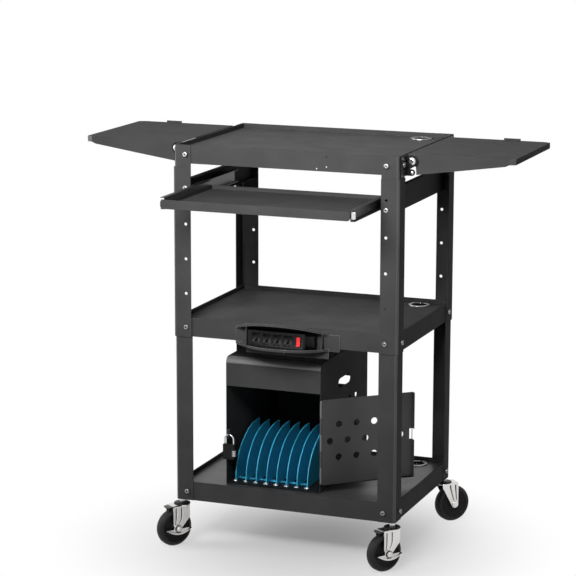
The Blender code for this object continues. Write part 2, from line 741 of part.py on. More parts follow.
def make_legs(corner, sx, sy):
    lower_outline = angle_outline(sx, sy, LEG_X, LEG_Y, LEG_FLANGE)
    upper_outline = angle_outline(sx, sy, LEG_X, LEG_Y, UPPER_LEG_FLANGE)
    sleeve_outline = angle_outline(sx, sy, LEG_X + SLEEVE, LEG_Y + SLEEVE, LEG_FLANGE)
    x, y = sx * HOLE_X, sy * HOLE_Y
    face_x, face_y = sx * LEG_X, sy * LEG_Y
    sleeve_x, sleeve_y = sx * (LEG_X + SLEEVE), sy * (LEG_Y + SLEEVE)

    lower = piece(f"lower_leg_{corner}", sheet_xy(lower_outline, 0, MIDDLE_TRAY_TOP), BLACK_COAT)
    cut(lower, hole_y(x, MIDDLE_BOLT, face_y, BOLT_HOLE), hole_x(y, MIDDLE_BOLT, face_x, BOLT_HOLE))
    join(lower, bolt_y(x, BOTTOM_BOLT, face_y, sy), bolt_x(y, BOTTOM_BOLT, face_x, sx))

    sleeve_shape = sheet_xy(sleeve_outline, OUTER_LEG_BOTTOM, OUTER_LEG_TOP)
    outer = piece(f"outer_leg_{corner}", sleeve_shape, BLACK_COAT)
    grid = [OPEN_HOLE_START + HOLE_PITCH * i for i in range(OPEN_HOLE_COUNT)]
    if corner == OPEN_SUPPORT_CORNER:
        grid.append(SUPPORT_BOLT_HIGH)
    cut(outer, *(hole_y(x, z, sleeve_y, LEG_HOLE_RADIUS) for z in grid))
    bolts = [bolt_y(x, MIDDLE_BOLT, sleeve_y, sy), bolt_x(y, MIDDLE_BOLT, sleeve_x, sx)]
    bolts.append(bolt_y(x, SUPPORT_BOLT_LOW, sleeve_y, sy))
    if corner != OPEN_SUPPORT_CORNER:
        bolts.append(bolt_y(x, SUPPORT_BOLT_HIGH, sleeve_y, sy))
    join(outer, *bolts, solver=ROBUST)

    upper = piece(f"upper_leg_{corner}", sheet_xy(upper_outline, UPPER_LEG_BOTTOM, TOP_HEIGHT), BLACK_COAT)
    cut(
        upper,
        hole_y(x, SUPPORT_BOLT_LOW, face_y, BOLT_HOLE), hole_y(x, SUPPORT_BOLT_HIGH, face_y, BOLT_HOLE),
        hole_x(y, TOP_BOLT, face_x, BOLT_HOLE),
    )
    join(upper, bolt_y(x, TOP_BOLT, face_y, sy))


for corner_name, (corner_x, corner_y) in CORNERS.items():
    make_legs(corner_name, corner_x, corner_y)


# Trays: a deck set down inside a hemmed rim, with an apron all round
def block(half_x, half_y, z_low, z_high):
    return box((-half_x, -half_y, z_low), (half_x, half_y, z_high))


def rounded(low_x, high_x, low_y, high_y, radius, steps):
    """A rectangle of points with round corners."""
    spots = [(high_x, high_y, 0), (low_x, high_y, 90), (low_x, low_y, 180), (high_x, low_y, 270)]
    points = []
    for x, y, turn in spots:
        cx = x - radius if x == high_x else x + radius
        cy = y - radius if y == high_y else y + radius
        points += arc(cx, cy, radius, turn, turn + 90, steps)
    return points


def tray(name, bottom, height, recess):
    """A tray whose rim is RIM_WIDTH wide above the deck and TRAY_SHEET thick below it."""
    top = bottom + height
    deck = top - recess
    under = deck - TRAY_SHEET
    outline = rounded(-TRAY_X, TRAY_X, -TRAY_Y, TRAY_Y, TRAY_CORNER, LEG_BEND_STEPS)
    pan = piece(name, sheet_xy(outline, bottom, top), BLACK_COAT)
    cut(pan, block(TRAY_X - RIM_WIDTH, TRAY_Y - RIM_WIDTH, deck, top + OVERRUN))
    return pan, deck, under


def tray_holes(z):
    """Clearance holes for the bolts at all four corners, through aprons and deck edges."""
    holes = []
    for sx, sy in CORNERS.values():
        holes.append(hole_y(sx * HOLE_X, z, sy * TRAY_Y, BOLT_HOLE))
        holes.append(hole_x(sy * HOLE_Y, z, sx * TRAY_X, BOLT_HOLE))
    return holes


def hollow(half_x, half_y, corner, z_low, z_high):
    """The space under a deck, less a square block in each corner."""
    a, b, c, d = half_x, half_y, half_x - corner, half_y - corner
    quarter = ((a, d), (c, d), (c, b))
    outline = list(quarter)
    outline += [(-x, y) for x, y in reversed(quarter)]
    outline += [(-x, -y) for x, y in quarter]
    outline += [(x, -y) for x, y in reversed(quarter)]
    return sheet_xy(outline, z_low, z_high)


def cable_hole(deck):
    """The hole for a grommet, with a shallow pressed seat that keeps its brim off the deck."""
    seat, neck = GROMMET_RADIUS + FIT, GROMMET_NECK_RADIUS + FIT
    section = [
        (0, OVERRUN), (seat, OVERRUN), (seat, -GROMMET_SEAT), (neck, -GROMMET_SEAT),
        (neck, -TRAY_SHEET - OVERRUN), (0, -TRAY_SHEET - OVERRUN),
    ]
    return turned_shape(section, GROMMET_SIDES, Matrix.Translation((GROMMET_X, GROMMET_Y, deck)))


def cable_grommet(name, deck):
    """A flanged ring dropped in a tray's cable hole, with a small rounded brim."""
    brim = deck - GROMMET_SEAT + FIT
    top = brim + GROMMET_FLANGE
    neck = GROMMET_NECK_RADIUS - FIT
    profile = [
        (GROMMET_BORE_RADIUS, top - GROMMET_BEVEL), (GROMMET_BORE_RADIUS + GROMMET_BEVEL, top),
        (GROMMET_RADIUS - GROMMET_FLANGE / 2, top), (GROMMET_RADIUS, top - GROMMET_FLANGE / 2),
        (GROMMET_RADIUS, brim), (neck, brim),
        (neck, deck - GROMMET_DEPTH), (GROMMET_BORE_RADIUS, deck - GROMMET_DEPTH),
    ]
    place = Matrix.Translation((GROMMET_X, GROMMET_Y, 0))
    turned(name, profile, GROMMET_SIDES, CHROME, cart, place)


# Bottom tray, with a solid block in each corner that takes a caster's stem
bottom, bottom_deck, bottom_under = tray("bottom_shelf", 0, BOTTOM_TRAY_HEIGHT, TRAY_RECESS)
inner_x, inner_y = TRAY_X - TRAY_SHEET, TRAY_Y - TRAY_SHEET
cut(bottom, hollow(inner_x, inner_y, LEG_CORNER_BLOCK, -OVERRUN, bottom_under), solver=ROBUST)
stem_holes = [
    rod(
        (sx * STEM_X, sy * STEM_Y, -OVERRUN), (sx * STEM_X, sy * STEM_Y, STEM_UP + FIT),
        STEM_HOLE_RADIUS, AXLE_SIDES,
    )
    for sx, sy in CORNERS.values()
]
cut(bottom, *tray_holes(BOTTOM_BOLT), *stem_holes, cable_hole(bottom_deck), solver=ROBUST)
cable_grommet("cable_grommet_bottom", bottom_deck)

# Middle tray
middle, middle_deck, middle_under = tray("middle_shelf", MIDDLE_TRAY_BOTTOM, MIDDLE_TRAY_HEIGHT, TRAY_RECESS)
cut(middle, block(inner_x, inner_y, MIDDLE_TRAY_BOTTOM - OVERRUN, middle_under))
strip_studs = [hole_y(x, STRIP_STUD_Z, -TRAY_Y, BOLT_HOLE) for x in STRIP_STUDS]
cut(middle, *tray_holes(MIDDLE_BOLT), cable_hole(middle_deck), *strip_studs)
cable_grommet("cable_grommet_middle", middle_deck)

# Top tray, whose side aprons are cut short so that the leaves can fold in under them
top, top_deck, top_under = tray("top_tray", TOP_TRAY_BOTTOM, TOP_TRAY_HEIGHT, TOP_RECESS)
cut(top, block(inner_x, inner_y, TOP_TRAY_BOTTOM - OVERRUN, top_under))
cut(top, block(LEG_X, LEAF_NOTCH_HALF, TOP_TRAY_BOTTOM - OVERRUN, TOP_HEIGHT - TOP_SIDE_APRON))
apron_holes = [hole_y(x, z, -TRAY_Y, APRON_HOLE_RADIUS) for x, z in APRON_HOLES]
cut(top, *tray_holes(TOP_BOLT), cable_hole(top_deck), *apron_holes)
cable_grommet("cable_grommet_top", top_deck)


# Drop leaves: a sheet with tapered skirts, hung on two pivots at the edge of the top tray
def leaf_plan(inset, inner_x_edge):
    """The leaf seen from above, drawn in from its edges by inset."""
    outer, half = LEAF_OUTER_X - inset, LEAF_HALF_DEPTH - inset
    side = [(inner_x_edge, half), (outer - LEAF_CHAMFER_X, half), (outer, half - LEAF_CHAMFER_Y)]
    return side + [(x, -y) for x, y in reversed(side)]


def skirt_profile():
    """The leaf seen from the front: nose round the pivot, deep root, taper to a shallow lip."""
    nose = arc(PIVOT_X, PIVOT_Z, NOSE_RADIUS, 180, 270, CORNER_STEPS)
    top_z = TOP_HEIGHT + OVERRUN
    return [
        (LEAF_INNER_X - OVERRUN, top_z), (LEAF_INNER_X - OVERRUN, TOP_HEIGHT - LEAF_SHEET), *nose,
        (SKIRT_ROOT_X - LEAF_SHEET, PIVOT_Z - (SKIRT_ROOT_X - PIVOT_X) - NOSE_RADIUS / 2),
        (SKIRT_ROOT_X, TOP_HEIGHT - SKIRT_ROOT_DROP), (SKIRT_MID_X, TOP_HEIGHT - SKIRT_MID_DROP),
        (SKIRT_END_X, TOP_HEIGHT - SKIRT_END_DROP), (LEAF_OUTER_X - LEAF_CHAMFER_X, TOP_HEIGHT - LEAF_LIP),
        (LEAF_OUTER_X + OVERRUN, TOP_HEIGHT - LEAF_LIP), (LEAF_OUTER_X + OVERRUN, top_z),
    ]


def mirror_x(outline, way):
    return [(way * x, z) for x, z in outline]


def make_leaf(side, way):
    hinge = frame_at(f"leaf_{side}_hinge", (way * PIVOT_X, 0, PIVOT_Z), cart)
    low = TOP_HEIGHT - SKIRT_ROOT_DROP
    plan = mirror_x(leaf_plan(0, LEAF_INNER_X), way)
    leaf = piece(f"leaf_{side}", sheet_xy(plan, low, TOP_HEIGHT), BLACK_COAT, hinge)
    under = mirror_x(leaf_plan(LEAF_SHEET, LEAF_INNER_X - OVERRUN), way)
    cut(leaf, sheet_xy(under, low - OVERRUN, TOP_HEIGHT - LEAF_SHEET))
    reach = LEAF_HALF_DEPTH + OVERRUN
    work(leaf, "INTERSECT", sheet_xz(mirror_x(skirt_profile(), way), -reach, reach))
    span = (way * PIVOT_X, -reach, PIVOT_Z), (way * PIVOT_X, reach, PIVOT_Z)
    cut(leaf, rod(*span, PIVOT_HOLE_RADIUS, PIVOT_SIDES))
    start, end = way * LEAF_TAB_START, way * (LEAF_TAB_START + LEAF_TAB_LENGTH)
    back, low_z = LEAF_HALF_DEPTH - LEAF_SHEET, TOP_HEIGHT - LEAF_SHEET / 2
    join(leaf, box((start, back, low_z), (end, LEAF_HALF_DEPTH, TOP_HEIGHT + LEAF_TAB_HEIGHT)))


# Leaf brackets: a base bolted to the upper leg, an ear with the pivot and the stop pin
def ear_outline():
    """The ear in X and Z: base edge at the leg, a round lobe at the pivot, a smaller one at the pin."""
    base = LEG_X + FIT
    pin_z = TOP_HEIGHT - HOOK_PIN_DROP
    neck_x = base + EAR_NECK_WIDTH
    return [
        (base, pin_z - HOOK_LOBE_RADIUS), *arc(PIVOT_X, pin_z, HOOK_LOBE_RADIUS, -90, 90, CORNER_STEPS + 1),
        (neck_x, pin_z + HOOK_LOBE_RADIUS),
        *arc(PIVOT_X, PIVOT_Z, EAR_LOBE_RADIUS, -70, 90, CORNER_STEPS + 2),
        (base, PIVOT_Z + EAR_LOBE_RADIUS),
    ]


def make_bracket(corner, sx, sy):
    inner, outer = sy * EAR_INNER_Y, sy * (EAR_INNER_Y + EAR_SHEET)
    ear = piece(f"leaf_bracket_{corner}", sheet_xz(mirror_x(ear_outline(), sx), inner, outer), BLACK_COAT)
    base_x = sx * (LEG_X + FIT)
    low, high = TOP_HEIGHT - HOOK_PIN_DROP - HOOK_LOBE_RADIUS, PIVOT_Z + EAR_LOBE_RADIUS
    base = box((base_x, inner, low), (base_x + sx * EAR_SHEET, sy * EAR_BASE_END_Y, high))
    join(ear, base, solver=ROBUST)
    pin_z = TOP_HEIGHT - HOOK_PIN_DROP
    tip = sy * (LEAF_HALF_DEPTH + HOOK_PIN_GAP)
    head_end = (sx * PIVOT_X, outer + sy * HOOK_PIN_HEAD, pin_z)
    pin = rod((sx * PIVOT_X, tip, pin_z), head_end, HOOK_PIN_RADIUS, BOLT_SIDES)
    head = rod((sx * PIVOT_X, outer - sy * FIT, pin_z), head_end, HOOK_PIN_HEAD_RADIUS, HEAD_SIDES)
    join(ear, pin, solver=ROBUST)
    join(ear, head, solver=ROBUST)
    join(ear, bolt_x(sy * HOLE_Y, TOP_BOLT, base_x + sx * EAR_SHEET, sx), solver=ROBUST)
    hole_start = (sx * PIVOT_X, inner - sy * OVERRUN, PIVOT_Z)
    hole_end = (sx * PIVOT_X, outer + sy * OVERRUN, PIVOT_Z)
    cut(ear, rod(hole_start, hole_end, PIVOT_HOLE_RADIUS, PIVOT_SIDES), solver=ROBUST)


def make_pivot(corner, sx, sy):
    """A shouldered bolt: head outside the ear, collar between ear and skirt, nut inside the skirt."""
    ear_face = EAR_INNER_Y + EAR_SHEET + FIT
    nut_face = LEAF_HALF_DEPTH - LEAF_SHEET - FIT
    stations = [
        (ear_face + PIVOT_HEAD_HEIGHT, 0),
        (ear_face + PIVOT_HEAD_HEIGHT, PIVOT_HEAD_RADIUS * HEAD_CROWN_SHARE),
        (ear_face + PIVOT_HEAD_HEIGHT / 2, PIVOT_HEAD_RADIUS), (ear_face, PIVOT_HEAD_RADIUS),
        (ear_face, PIVOT_RADIUS), (EAR_INNER_Y - FIT, PIVOT_RADIUS), (EAR_INNER_Y - FIT, PIVOT_COLLAR_RADIUS),
        (LEAF_HALF_DEPTH + FIT, PIVOT_COLLAR_RADIUS), (LEAF_HALF_DEPTH + FIT, PIVOT_RADIUS),
        (nut_face, PIVOT_RADIUS), (nut_face, PIVOT_NUT_RADIUS),
        (nut_face - PIVOT_NUT_HEIGHT, PIVOT_NUT_RADIUS), (nut_face - PIVOT_NUT_HEIGHT, 0),
    ]
    profile = [(radius, along) for along, radius in stations]
    upright = Matrix.Rotation(-sy * math.pi / 2, 4, "X")
    place = Matrix.Translation((sx * PIVOT_X, 0, PIVOT_Z)) @ upright
    turned(f"leaf_pivot_{corner}", profile, PIVOT_SIDES, ZINC, cart, place, closed=False)


for side_name, side_way in SIDES.items():
    make_leaf(side_name, side_way)
for corner_name, (corner_x, corner_y) in CORNERS.items():
    make_bracket(corner_name, corner_x, corner_y)
    make_pivot(corner_name, corner_x, corner_y)


# Keyboard supports: a channel each side, with end tabs that the leg bolts hold and two bosses for the rail
def make_channel(side, way):
    low, high = CHANNEL_BOTTOM, CHANNEL_BOTTOM + CHANNEL_HEIGHT
    end, inner_face = TRAY_Y, CHANNEL_OUTER_X - CHANNEL_FLANGE
    channel = piece(
        f"keyboard_support_{side}",
        box((way * CHANNEL_OUTER_X, -end, low), (way * CHANNEL_TAB_INNER_X, end, high)), BLACK_COAT,
    )
    web, sheet = CHANNEL_OUTER_X - CHANNEL_SHEET, CHANNEL_SHEET
    reach, over = way * (CHANNEL_TAB_INNER_X - OVERRUN), OVERRUN
    cut(channel, box((way * web, -end + sheet, low + sheet), (reach, end - sheet, high - sheet)))
    cut(channel, box((way * inner_face, -end + sheet, low - over), (reach, end - sheet, high + over)))
    holes = [
        hole_y(way * HOLE_X, z, sy * TRAY_Y, BOLT_HOLE)
        for sy in (-1, 1) for z in (SUPPORT_BOLT_LOW, SUPPORT_BOLT_HIGH)
    ]
    cut(channel, *holes)
    back = RAIL_OUTER_X + FIT
    middle = RAIL_BOTTOM + RAIL_HEIGHT / 2
    boss_start = way * (web + sheet / 2)
    bosses = [
        rod((boss_start, y, middle), (way * back, y, middle), RAIL_BOSS_RADIUS, RAIL_BOSS_SIDES)
        for y in (-RAIL_CLOSED_FRONT + RAIL_BOSS_INSET, -RAIL_CLOSED_FRONT + RAIL_LENGTH - RAIL_BOSS_INSET)
    ]
    join(channel, *bosses)


# Slides: an outer rail on the channel, and an inner rail that carries the tray and nests in it
def make_slides(side, way, slide):
    low, high, sheet = RAIL_BOTTOM, RAIL_BOTTOM + RAIL_HEIGHT, RAIL_SHEET
    front, back = -RAIL_CLOSED_FRONT, -RAIL_CLOSED_FRONT + RAIL_LENGTH
    mouth = way * (RAIL_OUTER_X - RAIL_DEPTH)
    outer = piece(
        f"slide_rail_outer_{side}",
        box((way * RAIL_OUTER_X, front, low), (mouth, back, high)), ZINC,
    )
    pocket_end = mouth - way * OVERRUN
    pocket_start = way * (RAIL_OUTER_X - sheet)
    pocket_low, pocket_high = low + sheet, high - sheet
    cut(outer, box((pocket_start, front - OVERRUN, pocket_low), (pocket_end, back + OVERRUN, pocket_high)))

    base, nose = way * (TRAY_HALF_WIDTH + FIT), way * (TRAY_HALF_WIDTH + FIT + INNER_RAIL_DEPTH)
    low, high = low + sheet + FIT, high - sheet - FIT
    front = -KEY_TRAY_FRONT + KEY_TRAY_SHEET + FIT
    back = front + RAIL_LENGTH
    inner = piece(f"slide_rail_inner_{side}", box((base, front, low), (nose, back, high)), ZINC, slide)
    pocket_start, pocket_end = base + way * sheet, nose + way * OVERRUN
    pocket_low, pocket_high = low + sheet, high - sheet
    cut(inner, box((pocket_start, front - OVERRUN, pocket_low), (pocket_end, back + OVERRUN, pocket_high)))


slide_frame = frame_at("keyboard_slide", (0, 0, KEY_TRAY_DECK), cart)
for side_name, side_way in SIDES.items():
    make_channel(side_name, side_way)
    make_slides(side_name, side_way, slide_frame)

# Keyboard tray: a low-walled pan with a taller front lip that covers the left rail's end
front_face = -KEY_TRAY_FRONT + KEY_TRAY_SHEET / 2
back_face = -KEY_TRAY_FRONT + KEY_TRAY_SHEET + RAIL_LENGTH
wall_top = KEY_TRAY_DECK + KEY_TRAY_SHEET + KEY_TRAY_WALL
key_tray = piece(
    "keyboard_tray",
    box((-TRAY_HALF_WIDTH, front_face, KEY_TRAY_DECK), (TRAY_HALF_WIDTH, back_face, wall_top)),
    BLACK_COAT, slide_frame,
)
wall = KEY_TRAY_SHEET
pan_x, pan_z = TRAY_HALF_WIDTH - wall, KEY_TRAY_DECK + wall
cut(key_tray, box((-pan_x, front_face - OVERRUN, pan_z), (pan_x, back_face - wall, wall_top + OVERRUN)))
lip = rounded(
    -KEY_LIP_LEFT, TRAY_HALF_WIDTH, KEY_LIP_BOTTOM, KEY_LIP_BOTTOM + KEY_LIP_HEIGHT,
    KEY_LIP_CORNER, CORNER_STEPS,
)
join(key_tray, sheet_xz(lip, -KEY_TRAY_FRONT, -KEY_TRAY_FRONT + KEY_TRAY_SHEET))


# Power strip bracket: a plate on the middle tray's apron, a bowed floor, a bowed hood and two cheeks
def bow_depth(x):
    """How far the bow stands out from the plate at x."""
    share = (x - BOW_LEFT) / (BOW_RIGHT - BOW_LEFT)
    return BOW_OUT * (1 - abs(share * 2 - 1) ** BOW_POWER)


def bow_outline(inset, stretch, back):
    """The bow seen from above, from y = 0 outwards, stretched along its depth."""
    points = []
    for i in range(BOW_STEPS + 1):
        x = BOW_LEFT + (BOW_RIGHT - BOW_LEFT) * i / BOW_STEPS
        depth = bow_depth(x) - inset
        if depth > inset * LAST_DEPTH_SHARE:
            points.append((x, -depth * stretch))
    if not inset:
        points = [(BOW_LEFT, 0), *points, (BOW_RIGHT, 0)]
    return [(points[0][0], back), *points, (points[-1][0], back)]


plate_back = -TRAY_Y - FIT
plate_face = plate_back - STRIP_SHEET
strip_floor = STRIP_PLATE_BOTTOM + STRIP_SHEET
plate_top, hood_back = STRIP_PLATE_BOTTOM + STRIP_PLATE_HEIGHT, STRIP_PLATE_BOTTOM + HOOD_BACK_RISE
hood_top, skirt_low = hood_back + STRIP_SHEET, STRIP_PLATE_BOTTOM - STRIP_SKIRT_DROP
plate_outline = [
    (STRIP_PLATE_LEFT, STRIP_PLATE_BOTTOM), (STRIP_SKIRT_LEFT, STRIP_PLATE_BOTTOM),
    (STRIP_SKIRT_LEFT, skirt_low), (STRIP_SKIRT_RIGHT, skirt_low),
    (STRIP_SKIRT_RIGHT, STRIP_PLATE_BOTTOM), (STRIP_PLATE_RIGHT, STRIP_PLATE_BOTTOM),
    (STRIP_PLATE_RIGHT, plate_top), (BOW_RIGHT, plate_top), (BOW_RIGHT, hood_top),
    (BOW_LEFT, hood_top), (BOW_LEFT, plate_top), (STRIP_PLATE_LEFT, plate_top),
]
bracket = piece("strip_bracket", sheet_xz(plate_outline, plate_face, plate_back), BLACK_COAT)

half_sheet = STRIP_SHEET / 2
floor_place = Matrix.Translation((0, plate_face, STRIP_PLATE_BOTTOM))
hood_slope = math.atan2(HOOD_FRONT_RISE, BOW_OUT)
hood_place = Matrix.Translation((0, plate_face, hood_back)) @ Matrix.Rotation(-hood_slope, 4, "X")
for place, slope, low_z, high_z, pocket_low, pocket_high in (
    (floor_place, 0, 0, STRIP_SHEET + LIP_RISE, STRIP_SHEET, STRIP_SHEET + LIP_RISE + OVERRUN),
    (hood_place, hood_slope, -LIP_RISE, STRIP_SHEET, -LIP_RISE - OVERRUN, 0),
):
    stretch = 1 / math.cos(slope)
    pan_shape = sheet_xy(bow_outline(0, stretch, half_sheet), low_z, high_z)
    bmesh.ops.transform(pan_shape, matrix=place, verts=pan_shape.verts)
    join(bracket, pan_shape, solver=ROBUST)
    pocket = sheet_xy(bow_outline(BOW_LIP_DEPTH, stretch, 0), pocket_low, pocket_high)
    for vertex in pocket.verts:
        if vertex.co.y > -FIT:
            vertex.co.y -= vertex.co.z * math.tan(slope)
    bmesh.ops.transform(pocket, matrix=place, verts=pocket.verts)
    cut(bracket, pocket, solver=ROBUST)
cheeks = []
for cheek_x in (CHEEK_LEFT, CHEEK_RIGHT):
    depth = bow_depth(cheek_x) - half_sheet
    front, back = plate_face - depth, plate_face + half_sheet
    low, high = STRIP_PLATE_BOTTOM + half_sheet, hood_back + half_sheet
    outline = [(back, low), (front, low), (front, high + depth * math.tan(hood_slope)), (back, high)]
    cheeks.append(sheet_yz(outline, cheek_x - half_sheet, cheek_x + half_sheet))
join(bracket, *cheeks, solver=ROBUST)
knob_z = STRIP_PLATE_BOTTOM - STRIP_KNOB_DROP
knob_start, knob_end = plate_face + half_sheet, plate_face - STRIP_KNOB_LENGTH
knob_ends = (STRIP_KNOB_X, knob_start, knob_z), (STRIP_KNOB_X, knob_end, knob_z)
knob = rod(*knob_ends, STRIP_KNOB_RADIUS, HINGE_SIDES)
stud_tip = -TRAY_Y + TRAY_SHEET + BOLT_REACH
studs = [
    rod((x, plate_back - half_sheet, STRIP_STUD_Z), (x, stud_tip, STRIP_STUD_Z), BOLT_RADIUS, BOLT_SIDES)
    for x in STRIP_STUDS
]
join(bracket, knob, *studs, solver=ROBUST)

# Power strip: a housing with four outlets, a rocker's pocket and an inlet for the cord at the right
strip_back = plate_face - FIT
strip_front = strip_back - STRIP_DEPTH
strip_low = strip_floor + FIT
strip_right = STRIP_LEFT + STRIP_LENGTH
strip_middle = strip_low + STRIP_HEIGHT / 2
housing = piece(
    "strip_housing",
    box((STRIP_LEFT, strip_front, strip_low), (strip_right, strip_back, strip_low + STRIP_HEIGHT)),
    BLACK_PLASTIC,
)
inlet_low, inlet_high = strip_middle - INLET_HEIGHT / 2, strip_middle + INLET_HEIGHT / 2
inlet_front, inlet_back = strip_back - INLET_DEPTH, strip_back - INLET_WALL / 2
inlet_end = strip_right + INLET_LENGTH
join(housing, box((strip_right - INLET_WALL, inlet_front, inlet_low), (inlet_end, inlet_back, inlet_high)))
wall = INLET_WALL
inlet_pocket = box(
    (inlet_end - INLET_POCKET, inlet_front + wall, inlet_low + wall),
    (inlet_end + OVERRUN, inlet_back - wall, inlet_high - wall),
)
outlets = [STRIP_LEFT + OUTLET_FIRST + OUTLET_PITCH * i for i in range(OUTLET_COUNT)]
half_w, half_h = OUTLET_WIDTH / 2, OUTLET_HEIGHT / 2
near, far = strip_front - OVERRUN, strip_front + OUTLET_RECESS
recesses = [
    box((x - half_w, near, strip_middle - half_h), (x + half_w, far, strip_middle + half_h)) for x in outlets
]
switch_x = STRIP_LEFT + SWITCH_FROM_LEFT
half_w, half_h = SWITCH_WIDTH / 2 + SWITCH_SWAY, SWITCH_HEIGHT / 2 + SWITCH_SWAY
rocker_pocket = box(
    (switch_x - half_w, strip_front - OVERRUN, strip_middle - half_h),
    (switch_x + half_w, strip_front + SWITCH_POCKET, strip_middle + half_h),
)
cut(housing, inlet_pocket, rocker_pocket, *recesses)
sockets = []
far = strip_front + BLADE_DEPTH
for x in outlets:
    for way in (-1, 1):
        blade_x, blade_z = x + way * BLADE_SPACING / 2, strip_middle + BLADE_RAISE
        low = blade_x - BLADE_WIDTH / 2, near, blade_z - BLADE_HEIGHT / 2
        high = blade_x + BLADE_WIDTH / 2, far, blade_z + BLADE_HEIGHT / 2
        sockets.append(box(low, high))
    earth_z = strip_middle - EARTH_DROP
    sockets.append(rod((x, near, earth_z), (x, far, earth_z), EARTH_RADIUS, BOLT_SIDES))
cut(housing, *sockets)

# The rocker, which rests tipped to one side
rocker_frame = frame_at(
    "strip_switch_hinge", (switch_x, strip_front + SWITCH_PIVOT_DEPTH, strip_middle), cart,
    (-SWITCH_HALF_TILT, 0, 0),
)
face, half_h = -SWITCH_PIVOT_DEPTH - SWITCH_PROUD, SWITCH_HEIGHT / 2
tail = SWITCH_PIVOT_DEPTH * ROCKER_TAIL_SHARE
rocker = [
    (face, -half_h), (face + SWITCH_PROUD * ROCKER_DISH_SHARE, 0), (face, half_h),
    (0, half_h * ROCKER_WAIST_SHARE), (tail, half_h / 2),
    (tail, -half_h / 2), (0, -half_h * ROCKER_WAIST_SHARE),
]
rocker_half = SWITCH_WIDTH / 2
piece("strip_switch", sheet_yz(rocker, -rocker_half, rocker_half), RED_PLASTIC, rocker_frame)


# Tablet cabinet: a folded shell with round top edges, open at the front below its header
def hood_section(inset, low):
    """The cabinet seen from the side, drawn in by inset, down to z = low."""
    front, back, top_z = CABINET_FRONT + inset, CABINET_BACK - inset, CABINET_TOP - inset
    radius = CABINET_CORNER - inset
    cz = top_z - radius
    return [
        (back, low), *arc(back - radius, cz, radius, 0, 90, CORNER_STEPS),
        *arc(front + radius, cz, radius, 90, 180, CORNER_STEPS), (front, low),
    ]


def slot_outline(cx, cz, length, height, steps):
    """A slot with round ends, along the first axis."""
    radius, half = height / 2, (length - height) / 2
    right = arc(cx + half, cz, radius, -90, 90, steps)
    return right + arc(cx - half, cz, radius, 90, 270, steps)


sheet = CABINET_SHEET
cabinet_low = BOTTOM_DECK + FIT
hood = sheet_yz(hood_section(0, cabinet_low), CABINET_LEFT, CABINET_RIGHT)
shell = piece("cabinet_shell", hood, BLACK_COAT)
left_in, right_in = CABINET_LEFT + sheet, CABINET_RIGHT - sheet
cut(shell, sheet_yz(hood_section(sheet, cabinet_low - OVERRUN), left_in, right_in), solver=ROBUST)
front_out, front_in = CABINET_FRONT - OVERRUN, CABINET_FRONT + sheet + OVERRUN
doorway = box((left_in, front_out, cabinet_low - OVERRUN), (right_in, front_in, HEADER_BOTTOM))
cut(shell, doorway, solver=ROBUST)
right_wall = CABINET_RIGHT - sheet - OVERRUN, CABINET_RIGHT + OVERRUN
side_slot = slot_outline(SIDE_SLOT_Y, SIDE_SLOT_Z, SIDE_SLOT_LENGTH, SIDE_SLOT_HEIGHT, CORNER_STEPS)
side_vents = [sheet_yz(side_slot, *right_wall)]
for row in range(VENT_ROWS):
    stagger = row % STAGGER_EVERY
    for i in range(SIDE_VENT_COUNT - stagger):
        y = SIDE_VENT_LAST_Y - VENT_PITCH * (i + stagger / 2)
        z = SIDE_VENT_TOP - VENT_ROW_PITCH * row
        side_vents.append(rod((right_wall[0], y, z), (right_wall[1], y, z), VENT_RADIUS, VENT_SIDES))
back_wall = CABINET_BACK - sheet - OVERRUN, CABINET_BACK + OVERRUN
back_outline = slot_outline(BACK_SLOT_X, BACK_SLOT_Z, BACK_SLOT_LENGTH, SIDE_SLOT_HEIGHT, CORNER_STEPS)
back_slot = sheet_xz(back_outline, *back_wall)
back_vent_ends = (BACK_VENT_X, back_wall[0], BACK_VENT_Z), (BACK_VENT_X, back_wall[1], BACK_VENT_Z)
back_vent = rod(*back_vent_ends, VENT_RADIUS, VENT_SIDES)
cut(shell, *side_vents, back_slot, back_vent, solver=ROBUST)

# Its hinge: knuckles in turn on the cabinet and on the door, round one pin
hinge_low, hinge_high = DOOR_BOTTOM + HINGE_INSET, DOOR_BOTTOM + DOOR_HEIGHT - HINGE_INSET
knuckle = (hinge_high - hinge_low) / HINGE_KNUCKLES
spans = [
    (hinge_low + knuckle * i + FIT / 2, hinge_low + knuckle * (i + 1) - FIT / 2)
    for i in range(HINGE_KNUCKLES)
]


def knuckle_tubes(x, y, which):
    """Tubes for every second knuckle, each with a plate's start, and the bore that is cut last."""
    return [rod((x, y, low), (x, y, high), HINGE_RADIUS, HINGE_SIDES) for low, high in spans[which::2]]


def hinge_bore(x, y):
    low, high = hinge_low - OVERRUN, hinge_high + OVERRUN
    return rod((x, y, low), (x, y, high), HINGE_BORE, HINGE_SIDES)


leaf_x = CABINET_RIGHT - sheet / 2, CABINET_RIGHT + HINGE_LEAF
hinge_leaves = [
    box((leaf_x[0], HINGE_Y + HINGE_BORE, low), (leaf_x[1], HINGE_Y + HINGE_LEAF_LENGTH, high))
    for low, high in spans[0::2]
]
join(shell, *hinge_leaves, solver=ROBUST)
join(shell, *knuckle_tubes(HINGE_X, HINGE_Y, 0), solver=ROBUST)
cut(shell, hinge_bore(HINGE_X, HINGE_Y), solver=ROBUST)
pin_low, pin_high = hinge_low - HINGE_INSET / 2, hinge_high + HINGE_INSET / 2
pin_ends = (HINGE_X, HINGE_Y, pin_low), (HINGE_X, HINGE_Y, pin_high)
piece("door_hinge_pin", rod(*pin_ends, HINGE_PIN_RADIUS, HINGE_SIDES), ZINC)

